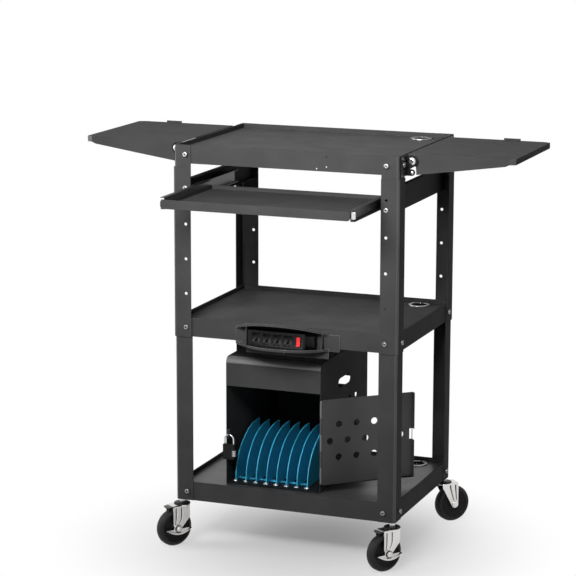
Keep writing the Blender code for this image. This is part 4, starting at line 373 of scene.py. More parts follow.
def add_piece(name, bm, slot, body, look=None, edge=0.0, replaced=()):
    """An object from a bmesh, in its finish, riding on its body."""
    mesh = bpy.data.meshes.new(name)
    bm.to_mesh(mesh)
    bm.free()
    mesh.shade_smooth()
    mesh.set_sharp_from_angle(angle=SHARP)
    mesh.materials.append(look or LOOKS[slot])
    piece = bpy.data.objects.new(name, mesh)
    scene.collection.objects.link(piece)
    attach(piece, body)
    if replaced:
        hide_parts(*replaced)
    if edge:
        bevelled(piece, edge)
    return piece


print("folds above", round(math.degrees(SHARP)), "degrees stay sharp or get a bevel")

# %% [markdown]
# ## Sheet steel
# Trays, legs, leaves and the cabinet are cut from sheet, folded and powder coated. Cut sheet never has a
# knife edge: the coat rounds it, and that is what catches the light along every rim. Each imported solid
# is copied, its flat triangles are merged into whole faces, and its folds get a bevel of about half a
# millimetre. The copy then stands for the solid.
#
# Two things need more. The upright corner of a leg was bent round a tool, so it has a wider round, which
# is cut into the mesh. And some faces have a second finish: the decks of the trays, the slanted faces
# of the bends, and the edges of the bracket that holds the power strip. The lighter decks of the top
# tray and the middle shelf are painted sheen. The lighter bends of the cabinet shell and edges of the
# bracket are a painted highlight.

# %% Tools for the sheet metal
BEND, BEND_STEPS, ROUND_PROFILE, ON_FACE = 0.0055, 4, 0.5, 0.0001
SLANT, BEND_AREA, DECK_AREA = 0.995, 0.0015, 0.01
SAME_POINT, SAME_PLANE = 0.000002, math.radians(0.4)
# The lighter deck finish of the top tray and the middle shelf is painted sheen. The cabinet shell's bend finish
# and the bracket's edge finish are painted highlights.
DECKS = {"top_tray": "painted_sheen_deck", "middle_shelf": "painted_sheen_deck", "bottom_shelf": "polished_deck"}
SECOND_FINISH = {"cabinet_shell": "painted_highlight_bend", **DECKS}
HIGHLIGHTED_EDGES = ("strip_bracket",)
SHEET_NODES = ["top_tray", "middle_shelf", "bottom_shelf", "keyboard_tray", "cabinet_shell", "cabinet_floor"]
SHEET_NODES += ["cabinet_door", "leaf_left", "leaf_right", "keyboard_support_left", "keyboard_support_right"]
SHEET_NODES += [f"{leg}_leg_{corner}" for leg in ("lower", "outer", "upper") for corner in CORNERS]
SHEET_NODES += [f"leaf_bracket_{corner}" for corner in CORNERS]


def round_bend(bm):
    """Rounds the upright corner of a leg, where the sheet was bent."""

    def on_corner(vert):
        return abs(vert.co.x) > LEG_X - ON_FACE and abs(vert.co.y - CART.y) > LEG_Y - ON_FACE

    uprights = [edge for edge in bm.edges if abs(edge.verts[0].co.z - edge.verts[1].co.z) > BEND]
    corner = [edge for edge in uprights if all(on_corner(vert) for vert in edge.verts)]
    round_off = {"offset": BEND, "segments": BEND_STEPS, "profile": ROUND_PROFILE, "affect": "EDGES"}
    bmesh.ops.bevel(bm, geom=corner, **round_off)


# The second finish is painted sheen on the decks of the top tray and the middle shelf, a painted highlight on the
# bends of the cabinet shell, and a glossier coat elsewhere.
def polish(bm, deck):
    """Marks the faces with a second finish: the deck of a tray, or else the narrow faces of every bend."""
    for face in bm.faces:
        if deck:
            chosen = face.normal.z > SLANT and face.calc_area() > DECK_AREA
        else:
            chosen = max(abs(n) for n in face.normal) < SLANT and face.calc_area() < BEND_AREA
        face.material_index = int(chosen)


def dress(node, edge, look=None):
    """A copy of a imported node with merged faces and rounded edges, which replaces it."""
    bm = bmesh.new()
    bm.from_mesh(frame["nodes"][node].data)
    bmesh.ops.remove_doubles(bm, verts=bm.verts, dist=SAME_POINT)
    if edge:
        bmesh.ops.dissolve_limit(bm, angle_limit=SAME_PLANE, verts=bm.verts, edges=bm.edges)
    if "_leg_" in node:
        round_bend(bm)
    sheet = node in SHEET_NODES and not look
    if sheet:
        polish(bm, node in DECKS)
    piece = add_piece(node + "_dressed", bm, slot_of[node], body_of[node], look, edge, [node])
    if sheet:
        piece.data.materials.append(LOOKS[SECOND_FINISH.get(node, "polished_bend")])
    # The edges of the bracket get a lighter finish: a painted highlight.
    if node in HIGHLIGHTED_EDGES:
        piece.data.materials.append(LOOKS["painted_highlight_edge"])
        piece.modifiers["rounded_edges"].material = 1


print("sheet metal to dress:", len(SHEET_NODES), "nodes")

# %% [markdown]
# Now all of the sheet metal takes one loop. The cabinet's floor and door and the leaf brackets have a
# finish of their own. The others have the coat of their slot.

# %% Round the edges of the sheet metal
EDGE = 0.00045
OWN_FINISH = {"cabinet_floor": "ear_black", "cabinet_door": "polished_deck"}
OWN_FINISH |= {f"leaf_bracket_{corner}": "ear_black" for corner in CORNERS}
for node in SHEET_NODES:
    dress(node, EDGE, LOOKS.get(OWN_FINISH.get(node)))
print("sheet metal:", len(SHEET_NODES), "nodes, edges of", EDGE * 1000, "mm")

# %% [markdown]
# ## The smaller fittings
# Dividers, outlets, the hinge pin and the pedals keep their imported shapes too, with edges rounded to
# suit: moulded plastic has softer edges than cut sheet. The strip's housing and the hinge pin are
# copied without a bevel.

# %% Round the edges of the other fittings
PLASTIC_EDGE, THIN_EDGE = 0.0007, 0.0003
FITTINGS = {"strip_bracket": EDGE, "strip_housing": 0, "strip_switch": THIN_EDGE}
FITTINGS |= {"divider_rack": PLASTIC_EDGE, "door_hinge_pin": 0, "padlock_staple": THIN_EDGE}
FITTINGS |= {"brake_pedal_fl": EDGE, "brake_pedal_fr": EDGE}
DARK_FITTINGS = {"padlock_staple": "black_zinc"}
for node, edge in FITTINGS.items():
    dress(node, edge, LOOKS.get(DARK_FITTINGS.get(node)))
print("fittings:", len(FITTINGS), "nodes")

# %% [markdown]
# ## Places on the cart
# Most of what follows repeats at the four corners. `at` gives a point of the cart, counted from its
# middle at the foot of its legs, so that a place on one corner mirrors the same place on another.
# `facing` adds a direction to the point.

# %% Count from the middle of the cart
def at(x, y, z):
    """A point of the cart, counted from its middle at the foot of its legs."""
    return CART + Vector((x, y, z))


def facing(point, axis):
    """A place at a point whose Z axis looks along axis."""
    return Matrix.Translation(point) @ Vector(axis).to_track_quat("Z", "Y").to_matrix().to_4x4()


print("front right foot:", [round(v, 4) for v in at(LEG_X, -LEG_Y, 0)])

# %% [markdown]
# ## A lathe
# Wheels, nuts, bolts and rings are all turned. On a real lathe the tool follows a section while the work
# spins. Here each point of a section becomes a ring of points, and faces join each ring to the next.
# Blender's Screw modifier does that too, but a few lines of our own can do more: a row with a third number
# is a polygon, as in a hexagon nut, and a waist makes knurls. Other shapes join loops of points
# too, so that and the last steps have functions of their own.

# %% Turn a section round an axis
def joined(bm, loops):
    """Faces between each loop of points and the next. A loop may be a single point."""
    for lower, upper in zip(loops, loops[1:]):
        for i in range(max(len(lower), len(upper))):
            k = i + 1
            corners = [lower[i % len(lower)], lower[k % len(lower)]]
            corners += [upper[k % len(upper)], upper[i % len(upper)]]
            bm.faces.new(list(dict.fromkeys(corners)))


def settled(bm, place):
    """The shape with its faces turned outwards, at its place."""
    bmesh.ops.recalc_face_normals(bm, faces=bm.faces)
    bmesh.ops.transform(bm, matrix=place, verts=bm.verts)
    return bm


def merged(shapes):
    """One bmesh from several."""
    whole = bmesh.new()
    holder = bpy.data.meshes.new("holder")
    for shape in shapes:
        shape.to_mesh(holder)
        whole.from_mesh(holder)
        shape.free()
    bpy.data.meshes.remove(holder)
    return whole


def lathe(section, steps, place, waist=1.0):
    """Turns (radius, height) points round local Z. The section ends on the axis, or closes on itself.

    A third number in a point makes that row a polygon with so many flats. A waist below 1 draws every
    second point in, which makes knurls."""
    bm = bmesh.new()
    rings = []
    for radius, height, *flats in section:
        ring = []
        for i in range(steps if radius > 0 else 1):
            t = math.tau * i / steps
            reach = radius * (waist if i % 2 else 1)
            if flats:
                flat = math.tau / flats[0]
                reach = radius * math.cos(flat / 2) / math.cos(t % flat - flat / 2)
            ring.append(bm.verts.new((reach * math.cos(t), reach * math.sin(t), height)))
        rings.append(ring)
    closed = len(rings[0]) > 1 and len(rings[-1]) > 1
    joined(bm, rings + rings[:1] if closed else rings)
    return settled(bm, place)


BOLT_STEPS, ROUND_STEPS = 24, 32
print("lathe:", BOLT_STEPS, "steps round a bolt,", ROUND_STEPS, "round wider things")

# %% [markdown]
# ## Bolts
# The three lengths of each leg, the trays and the brackets are bolted together with button-head bolts: a
# flat flange, a low dome and a hexagon socket. The lathe turns the button, and only the rows of the
# socket have six sides. A small dark disc lies on the floor of each socket: painted shade.
#
# The bolts on the front and back near the top are bright. The others, low on the legs or on their
# sides, have a darker zinc, which is painted shade. The picture shows no clamp bolt on the front right
# leg. Each group is one piece, because a cart's bolts never move apart.

# %% Turn the bolts
BUTTON = [(0, 0.0012), (0.0027, 0.0012, 6), (0.0029, 0.0036, 6), (0.0034, 0.0040), (0.0046, 0.0038)]
BUTTON += [(0.0057, 0.0034), (0.0063, 0.0027), (0.0065, 0.0018), (0.0067, 0.0010), (0.0067, 0.0), (0, 0.0)]
SOCKET_FLOOR = [(0, 0.0022), (0.0026, 0.0022), (0.0026, 0.0012), (0, 0.0012)]
SOCKET_SIDES = 6
HOLE_X, HOLE_Y = 0.273, 0.2005
SLEEVE_X, SLEEVE_Y = 0.3073, 0.2348
FOOT_BOLT, SHELF_BOLT, SUPPORT_BOLT, CLAMP_BOLT, TOP_BOLT = 0.025, 0.469, 0.8118, 0.836, 0.9234

bright, shaded = [], []
for corner, (sx, sy) in CORNERS.items():
    front, side = (0, sy, 0), (sx, 0, 0)
    bright.append((at(sx * HOLE_X, sy * LEG_Y, TOP_BOLT), front))
    bright.append((at(sx * HOLE_X, sy * SLEEVE_Y, SUPPORT_BOLT), front))
    if corner != "fr":
        bright.append((at(sx * HOLE_X, sy * SLEEVE_Y, CLAMP_BOLT), front))
    shaded.append((at(sx * HOLE_X, sy * SLEEVE_Y, SHELF_BOLT), front))
    shaded.append((at(sx * HOLE_X, sy * LEG_Y, FOOT_BOLT), front))
    shaded.append((at(sx * SLEEVE_X, sy * HOLE_Y, SHELF_BOLT), side))
    shaded.append((at(sx * LEG_X, sy * HOLE_Y, FOOT_BOLT), side))
    shaded.append((at(sx * SLEEVE_X, sy * HOLE_Y, TOP_BOLT), side))
# The bolts low down and on the sides take the darker zinc, which is painted shade.
for name, places, look in (("bright_bolts", bright, "bolt_zinc"), ("shaded_bolts", shaded, "shaded_zinc")):
    heads = [lathe(BUTTON, BOLT_STEPS, facing(place, way)) for place, way in places]
    add_piece(name, merged(heads), "zinc", "cart", LOOKS[look])
# A dark disc on the floor of every socket: painted shade.
floors = [lathe(SOCKET_FLOOR, SOCKET_SIDES, facing(place, way)) for place, way in bright + shaded]
add_piece("socket_floors", merged(floors), "zinc", "cart", LOOKS["painted_recess_shade"])
print("bolts:", len(bright), "bright,", len(shaded), "shaded")

# %% [markdown]
# ## Leaf pivots
# Each leaf turns on two big domed bolts through the ears of its brackets. Such a bolt has a hexagon socket
# in its dome, and a hexagon nut on the inside of the ear. The socket's floor is a dark disc: painted shade.
# Below each sits the small pin that the leaf's stay hooks onto. All of them are turned: the whole bolt, from
# its nut to its dome, is one section along its axis.

# %% Turn the leaf pivots and the hook pins
PIVOT_X, PIVOT_Z, HOOK_PIN_Z = 0.3211, 0.9304, 0.9016
NUT_IN, NUT_OUT, EAR_FACE, DOME_TOP = 0.1631, 0.1681, 0.1783, 0.1833
PIVOT = [(0, NUT_IN), (0.0072, NUT_IN, 6), (0.0080, NUT_IN + 0.0008, 6), (0.0080, NUT_OUT, 6)]
PIVOT += [(0.0040, NUT_OUT), (0.0040, EAR_FACE), (0.0100, EAR_FACE), (0.0101, EAR_FACE + 0.0014)]
PIVOT += [(0.0094, EAR_FACE + 0.0028), (0.0078, EAR_FACE + 0.0040), (0.0062, DOME_TOP - 0.0002)]
PIVOT += [(0.0052, DOME_TOP), (0.0048, DOME_TOP - 0.0014, 6), (0, DOME_TOP - 0.0014)]
RECESS_RADIUS, RECESS_HIGH, RECESS_LOW = 0.0044, DOME_TOP - 0.0012, DOME_TOP - 0.0016
RECESS = [(0, RECESS_HIGH), (RECESS_RADIUS, RECESS_HIGH), (RECESS_RADIUS, RECESS_LOW), (0, RECESS_LOW)]
PIN_HEAD = [(0, 0.0026), (0.0022, 0.0025), (0.0040, 0.0020), (0.0050, 0.0012), (0.0053, 0), (0, 0)]
PIVOT_STEPS = 48

pins, recesses = [], []
for corner, (sx, sy) in CORNERS.items():
    outward = (0, sy, 0)
    pivot_place = facing(at(sx * PIVOT_X, 0, PIVOT_Z), outward)
    node = "leaf_pivot_" + corner
    pivot = lathe(PIVOT, PIVOT_STEPS, pivot_place)
    add_piece("leaf_pivot_bolt_" + corner, pivot, slot_of[node], "cart", replaced=[node])
    recesses.append(lathe(RECESS, ROUND_STEPS, pivot_place))
    pins.append(lathe(PIN_HEAD, ROUND_STEPS, facing(at(sx * PIVOT_X, sy * EAR_FACE, HOOK_PIN_Z), outward)))
add_piece("hook_pin_heads", merged(pins), "chrome", "cart")
# Dark discs in the pivot sockets: painted shade.
add_piece("pivot_recesses", merged(recesses), "black_coat", "cart", LOOKS["painted_recess_shade"])
print("leaf pivots:", len(recesses), "hook pins:", len(pins))

# %% [markdown]
# ## Cable grommets: the flaps
# Each cable hole is closed by a thin flap of black rubber, slit so that a plug can be pushed through. It
# is cut from flat sheet, which a lathe can't do. `slab` takes an outline and two heights, and makes the
# plate between them. Each leaf of a flap is such a plate, and its round side follows the hole.

# %% Cut the flaps
FLAP_RADIUS, FLAP_LOW, FLAP_HIGH, FLAP_HUB = 0.0212, -0.0050, -0.0036, 0.0030
SLITS, SLIT_HALF, HALF_RIM_STEPS = 8, 0.0006, 3


def slab(outline, low, high, place):
    """A flat plate: an outline of (x, y) points, from one height to another."""
    bm = bmesh.new()
    bottom, top = ([bm.verts.new((x, y, z)) for x, y in outline] for z in (low, high))
    joined(bm, [bottom, top])
    bm.faces.new(bottom[::-1])
    bm.faces.new(top)
    return settled(bm, place)


def slit_flap(place):
    """A rubber disc cut into leaves by slits that meet near its middle."""

    def around(radius, turns):
        return [(radius * math.cos(t), radius * math.sin(t)) for t in turns]

    half = math.pi / SLITS - SLIT_HALF / FLAP_RADIUS
    inner = math.pi / SLITS - SLIT_HALF / FLAP_HUB
    leaves = []
    for i in range(SLITS):
        middle = math.tau * i / SLITS
        rim = [middle + half * (k / HALF_RIM_STEPS - 1) for k in range(2 * HALF_RIM_STEPS + 1)]
        outline = around(FLAP_RADIUS, rim) + around(FLAP_HUB, (middle + inner, middle - inner))
        leaves.append(slab(outline, FLAP_LOW, FLAP_HIGH, place))
    return merged(leaves)


print("flap:", SLITS, "leaves")

# %% [markdown]
# ## Cable grommets: the rings
# A flanged metal ring lines each hole, and keeps the cut sheet from the cables. The wall of the hole above
# the flap is lined in black, which is painted shade. Both are turned, and the black lining is one piece
# with its flap.

# %% Turn the rings
GROMMET_PLACE = (0.225, 0.194)
DECK_TOPS = {"top": 0.9354, "middle": 0.483, "bottom": 0.039}
RING = [(0.0210, -0.0120), (0.0250, -0.0120), (0.0250, -0.0002), (0.0290, -0.0002), (0.0290, 0.0014)]
RING += [(0.0284, 0.0024), (0.0272, 0.0028), (0.0240, 0.0028), (0.0224, 0.0024), (0.0213, 0.0012)]
RING += [(0.0210, 0)]
LINING = [(0.0200, -0.0040), (0.0209, -0.0040), (0.0209, 0.0008), (0.0204, 0.0004)]
RING_STEPS = 64

for tray, deck in DECK_TOPS.items():
    place = Matrix.Translation(at(*GROMMET_PLACE, deck))
    node = "cable_grommet_" + tray
    ring = lathe(RING, RING_STEPS, place)
    add_piece(f"grommet_ring_{tray}", ring, slot_of[node], "cart", LOOKS["grommet_zinc"], replaced=[node])
    rubber = merged([slit_flap(place), lathe(LINING, RING_STEPS, place)])
    # Flaps and lining take the darker rubber: painted shade.
    add_piece(f"grommet_flap_{tray}", rubber, "black_plastic", "cart", LOOKS["shaded_rubber"])
print("grommets:", len(DECK_TOPS))

# %% [markdown]
# ## Keyboard slides
# The tray runs on two drawer slides. The channels are black, and only the stops at the front ends of the
# inner channels are bright. A stop is a small folded clip. So little of it shows that a block with
# rounded edges does. It is narrower than its channel, and lies against the outer side.

# %% Fit the slides and their stops
STOP_LENGTH, STOP_OUT, STOP_SHARE, STOP_INSET = 0.006, 0.0002, 0.2, 0.003


def block(low, high, place=Matrix()):
    """A box between two corners."""
    bm = bmesh.new()
    bmesh.ops.create_cube(bm, size=1)
    size = [b - a for a, b in zip(low, high)]
    middle = [(a + b) / 2 for a, b in zip(low, high)]
    bmesh.ops.scale(bm, vec=size, verts=bm.verts)
    bmesh.ops.translate(bm, vec=middle, verts=bm.verts)
    bmesh.ops.transform(bm, matrix=place, verts=bm.verts)
    return bm


for side in ("left", "right"):
    for which in ("outer", "inner"):
        dress(f"slide_rail_{which}_{side}", THIN_EDGE, LOOKS["black_zinc"])
for side in ("left", "right"):
    low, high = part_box("slide_rail_inner_" + side)
    rise = (high.z - low.z) * STOP_SHARE
    shift = STOP_INSET if side == "right" else 0
    clip_low = (low.x + shift, low.y - STOP_OUT, low.z + rise)
    clip_high = (high.x - STOP_INSET + shift, low.y + STOP_LENGTH, high.z - rise)
    add_piece("slide_stop_" + side, block(clip_low, clip_high), "zinc", "keyboard_drawer", edge=THIN_EDGE)
print("slides: 4 channels, 2 stops")

# %% [markdown]
# ## Casters: where they stand
# A caster swivels on its stem, and its axle trails behind the stem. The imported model's joints know both
# places, so each caster is built in a frame of its own, which they give: X runs from the stem to the
# axle, Y along the axle, Z up. Then all four are made alike, whichever way they point.

# %% Find the stems and the axles
ALONG_AXLE = Matrix.Rotation(-math.pi / 2, 4, "X")


def swivel_place(corner):
    """The place of a caster's stem, and its trail and drop: X runs to the axle, Y along it, Z up."""
    stem = Vector(joints["caster_swivel_" + corner]["pos_m"])
    spin = joints["caster_spin_" + corner]
    ax, ay, _ = spin["axis"]
    reach = Vector(spin["pos_m"]) - stem
    turn = Matrix(((ay, ax, 0), (-ax, ay, 0), (0, 0, 1))).to_4x4()
    return Matrix.Translation(stem) @ turn, reach.xy.length, reach.z


for corner in CORNERS:
    _, trail, drop = swivel_place(corner)
    print("caster", corner, "trail", round(trail, 4), "drop", round(drop, 4))

# %% [markdown]
# ## Casters: wheels
# Each wheel is moulded in two parts: a hard core with a hub, and a tread of soft rubber round it.
# Both are round, so a lathe turns each from half a section and its mirror image. The faint steps
# of the core are the rings that the mould leaves on the web.

# %% Turn the wheels
CORE = [(0.0063, 0.0160), (0.0108, 0.0160), (0.0119, 0.0150), (0.0126, 0.0096), (0.0145, 0.0080)]
CORE += [(0.0185, 0.0080), (0.0194, 0.0089), (0.0212, 0.0089), (0.0221, 0.0080), (0.0272, 0.0080)]
CORE += [(0.0281, 0.0089), (0.0299, 0.0089), (0.0308, 0.0080), (0.0352, 0.0082), (0.0372, 0.0098)]
CORE += [(0.0384, 0.0104)]
TREAD = [(0.0380, 0.0120), (0.0386, 0.0134), (0.0400, 0.0140), (0.0430, 0.0140), (0.0451, 0.0131)]
TREAD += [(0.0470, 0.0110), (0.0486, 0.0086), (0.0499, 0.0050), (0.0500, 0.0)]
WHEEL_STEPS = 72


def both_sides(half):
    """A closed section from its upper half."""
    return half + [(radius, -height) for radius, height in reversed(half) if height]


for corner in CORNERS:
    swivel, trail, drop = swivel_place(corner)
    axle = swivel @ Matrix.Translation((trail, 0, drop)) @ ALONG_AXLE
    node = "caster_wheel_" + corner
    core = lathe(both_sides(CORE), WHEEL_STEPS, axle)
    add_piece("wheel_core_" + corner, core, "black_plastic", node)
    tread = lathe(both_sides(TREAD), WHEEL_STEPS, axle)
    add_piece("wheel_tread_" + corner, tread, slot_of[node], node, replaced=[node])
print("wheels:", len(CORNERS), "of a core and a tread each")

# %% [markdown]
# ## Casters: the shape of a fork
# A fork is one strip of steel, pressed into a U over the wheel. Its shoulders are round, its legs narrow
# towards the axle, where they end in a round boss, and a groove pressed down each leg stiffens it.
# Folding a plate with modifiers would leave the narrowing and the groove to be cut later. It is simpler
# to describe the U as a row of stations, each as wide as the fork is there.

# %% Describe a fork
CROWN_TOP, CROWN_BACK, SHOULDER, SHOULDER_STEPS = -0.0136, -0.012, 0.0055, 6
FORK_HALF, FORK_STEEL, BOSS, TAPER = 0.0190, 0.0025, 0.010, 0.012
GROOVE_DEPTH, GROOVE_FROM, GROOVE_TO = 0.0013, 0.001, 0.045
BOSS_ANGLES = (88, 75, 60, 45, 30, 15)
ABOVE_AXLE = (0, 0.005, 0.0085, 0.0119, 0.0121, 0.018, 0.024, 0.031)
BELOW_KNEE = (0.016, 0.006, GROOVE_FROM)
# The back edge runs straight to the boss, and meets it 30 degrees below the axle.
BACK_ANGLE = math.radians(30)


def fork_edges(z, drop, trail, front, hip):
    """How far the fork reaches back and forth at height z."""
    below = drop - z
    if below > 0:
        half = math.sqrt(max(BOSS**2 - below**2, 0))
        ahead = trail + half
    else:
        ahead = front if -below > TAPER else front + (trail + BOSS - front) * (1 + below / TAPER)
    back_z, back_x = drop - BOSS / 2, trail - BOSS * math.cos(BACK_ANGLE)
    if z > CROWN_TOP - hip:
        behind = CROWN_BACK
    elif z > back_z:
        share = (CROWN_TOP - hip - z) / (CROWN_TOP - hip - back_z)
        behind = CROWN_BACK + (back_x - CROWN_BACK) * share
    else:
        behind = trail - half
    return behind, ahead


def fork_stations(drop):
    """(y, z, across, up) of the outer skin, from one foot over the crown to the other."""
    knee = CROWN_TOP - SHOULDER
    heights = [drop - BOSS * math.sin(math.radians(angle)) for angle in BOSS_ANGLES]
    heights += [drop + rise for rise in ABOVE_AXLE] + [knee - fall for fall in BELOW_KNEE]
    half = [(FORK_HALF, z, 1.0, 0.0) for z in sorted(set(heights))]
    for i in range(SHOULDER_STEPS + 1):
        t = math.pi / 2 * i / SHOULDER_STEPS
        y, z = FORK_HALF - SHOULDER + SHOULDER * math.cos(t), knee + SHOULDER * math.sin(t)
        half.append((y, z, math.cos(t), math.sin(t)))
    return half + [(-y, z, -across, up) for y, z, across, up in reversed(half)]


print("fork: U of", FORK_HALF * 2000, "mm outside,", FORK_STEEL * 1000, "mm sheet")

# %% [markdown]
# ## Casters: pressing the forks
# Each station becomes a row of points across the strip, once for the outer skin and once for the inner, a
# sheet's thickness apart. Four of the columns are pushed in to make a pair of grooves, whose floors are
# dark: painted shade. A turned crown covers the top of the fork, where the ball race is.

# %% Press the forks
ACROSS_SHARES = (0.0, 0.05, 0.43, 0.455, 0.515, 0.54, 0.76, 0.785, 0.845, 0.87, 0.96, 1.0)
GROOVES, NEARLY = (3, 4, 7, 8), 1e-6
CROWN = [(0.0046, -0.0136), (0.0180, -0.0136), (0.0205, -0.0144), (0.0212, -0.0158), (0.0212, -0.0172)]
CROWN += [(0.0200, -0.0172), (0.0190, -0.0166), (0.0046, -0.0162)]
BRAKED = ("fl", "fr")
BRAKED_AHEAD, BRAKED_HIP, PLAIN_HIP = 0.013, 0.035, 0.012


def fork_skin(bm, deep, drop, trail, front, hip):
    """Rows of points at a depth under the outer skin, pushed in where the grooves run."""
    rows = []
    for y, z, across, up in fork_stations(drop):
        behind, ahead = fork_edges(min(z, CROWN_TOP), drop, trail, front, hip)
        down = CROWN_TOP - SHOULDER - z
        pressed = GROOVE_DEPTH if GROOVE_FROM <= down <= GROOVE_TO and abs(across) == 1 else 0.0
        row = []
        for i, share in enumerate(ACROSS_SHARES):
            inward = deep + (pressed if i in GROOVES else 0.0)
            point = (behind + (ahead - behind) * share, y - across * inward, z - up * inward)
            row.append(bm.verts.new(point))
        rows.append(row)
    return rows


def press_fork(place, *measures):
    """The U-shaped strip, with two grooves down each leg."""
    bm = bmesh.new()
    outer, inner = (fork_skin(bm, deep, *measures) for deep in (0.0, FORK_STEEL))
    last = len(ACROSS_SHARES) - 1
    for a in range(len(outer) - 1):
        for i in range(last):
            face = bm.faces.new((outer[a][i], outer[a + 1][i], outer[a + 1][i + 1], outer[a][i + 1]))
            sunk = [abs(abs(vert.co.y) - FORK_HALF + GROOVE_DEPTH) < NEARLY for vert in face.verts]
            # The groove floors take the second finish, which is painted shade.
            face.material_index = int(i in GROOVES[::2] and all(sunk))
            bm.faces.new((inner[a][i + 1], inner[a + 1][i + 1], inner[a + 1][i], inner[a][i]))
        for i in (0, last):
            bm.faces.new((outer[a][i], inner[a][i], inner[a + 1][i], outer[a + 1][i]))
    for row in (0, -1):
        for i in range(last):
            bm.faces.new((outer[row][i], outer[row][i + 1], inner[row][i + 1], inner[row][i]))
    return settled(bm, place)


for corner in CORNERS:
    swivel, trail, drop = swivel_place(corner)
    front, hip = (trail + BRAKED_AHEAD, BRAKED_HIP) if corner in BRAKED else (trail + BOSS, PLAIN_HIP)
    node = "caster_fork_" + corner
    fork = press_fork(swivel, drop, trail, front, hip)
    pressed = add_piece("fork_" + corner, fork, slot_of[node], node, replaced=[node])
    # Painted shade for the groove floors.
    pressed.data.materials.append(LOOKS["painted_recess_shade"])
    add_piece("crown_" + corner, lathe(CROWN, ROUND_STEPS, swivel), slot_of[node], node)
print("forks:", len(CORNERS), "with", len(GROOVES) // 2, "grooves down each leg")

# %% [markdown]
# ## Casters: stems and axles
# The stem screws into the leg, with a hexagon nut under the leg and a black cap over the ball race. The
# axle is a bolt through both fork legs, with a nut on the outside and a washer under it, which is dark:
# painted shade round the nut. All are turned, and the nuts are the rows with six flats.

# %% Fit the stems, caps and axles
STEM = [(0, 0.0220), (0.0044, 0.0220), (0.0050, 0.0212), (0.0050, -0.0003), (0.0076, -0.0003, 6)]
STEM += [(0.0082, -0.0010, 6), (0.0082, -0.0090, 6), (0.0042, -0.0090), (0.0042, -0.0194)]
STEM += [(0.0070, -0.0194), (0.0070, -0.0212), (0.0056, -0.0224), (0, -0.0224)]
CAP = [(0.0046, -0.0093), (0.0150, -0.0093), (0.0190, -0.0098), (0.0212, -0.0108), (0.0219, -0.0120)]
CAP += [(0.0219, -0.0133), (0.0046, -0.0133)]
SHANK, FAR_END, FAR_FACE = 0.0058, -0.0230, -0.0190
BRAKED_FACE, PLAIN_FACE = 0.0226, 0.0190


def axle_bolt(face):
    """The section of an axle: a head at the far end, a shank, and a nut whose seat is at the near face."""
    head = [(0, FAR_END), (0.0066, FAR_END), (0.0082, FAR_END + 0.0008), (0.0085, FAR_FACE)]
    nut = [(0.0080, face, 6), (0.0080, face + 0.0026, 6), (0.0074, face + 0.0031)]
    end = [(0.0043, face + 0.0031), (0.0041, face + 0.0040), (0, face + 0.0040)]
    return head + [(SHANK, FAR_FACE), (SHANK, face)] + nut + end


def washer(face):
    """The section of the washer under the nut."""
    low, high = face + 0.0001, face + 0.0009
    return [(0.0060, low), (0.0098, low), (0.0098, high), (0.0060, high)]


for corner in CORNERS:
    swivel, trail, drop = swivel_place(corner)
    stem, fork = "caster_stem_" + corner, "caster_fork_" + corner
    add_piece("stem_" + corner, lathe(STEM, BOLT_STEPS, swivel), slot_of[stem], "cart", replaced=[stem])
    add_piece("race_cap_" + corner, lathe(CAP, ROUND_STEPS, swivel), "black_plastic", "cart")
    face = BRAKED_FACE if corner in BRAKED else PLAIN_FACE
    axle = swivel @ Matrix.Translation((trail, 0, drop)) @ ALONG_AXLE
    add_piece("axle_" + corner, lathe(axle_bolt(face), BOLT_STEPS, axle), "zinc", fork)
    # The washer takes the dark finish: painted shade round the nut.
    ring = lathe(washer(face), BOLT_STEPS, axle)
    add_piece("axle_washer_" + corner, ring, "zinc", fork, LOOKS["painted_recess_shade"])
print("stems, caps and axles:", len(CORNERS), "each")

# %% [markdown]
# ## Casters: brakes
# On each front caster a steel tab with a rubber pad hangs over the wheel. Both are blocks with rounded
# edges. A foot pedal locks the caster, a crescent that turns about the axle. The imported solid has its
# curved tread. What the camera sees is the half-moon plate that joins the tread to the axle, so a
# plate with a notch for the axle is cut and set against the fork.

# %% Fit the tabs, the pads and the pedal plates
TAB_LOW, TAB_HIGH = (0.030, -0.013, -0.0188), (0.050, 0.013, -0.0158)
PAD_LOW, PAD_HIGH = (0.034, -0.011, -0.0218), (0.0485, 0.011, -0.0186)
MOON_HALF, MOON_TOP, MOON_TIP, MOON_DEPTH = 0.037, 0.001, 0.0005, 0.0125
MOON_STEPS, AXLE_ROOM = 24, 0.0066
PLATE_IN, PLATE_OUT = 0.0194, 0.0225


def half_moon():
    """The outline of the plate about the axle: straight above but for the notch, and curved below."""
    shares = [2 * i / MOON_STEPS - 1 for i in range(MOON_STEPS + 1)]
    notch = [math.sqrt(max(AXLE_ROOM**2 - (MOON_HALF * t) ** 2, 0)) for t in shares]
    upper = [(MOON_HALF * t, -max(MOON_TOP, depth)) for t, depth in zip(shares, notch)]
    lower = [(MOON_HALF * t, -MOON_TOP - MOON_TIP - MOON_DEPTH * (1 - t * t)) for t in reversed(shares)]
    return upper + lower


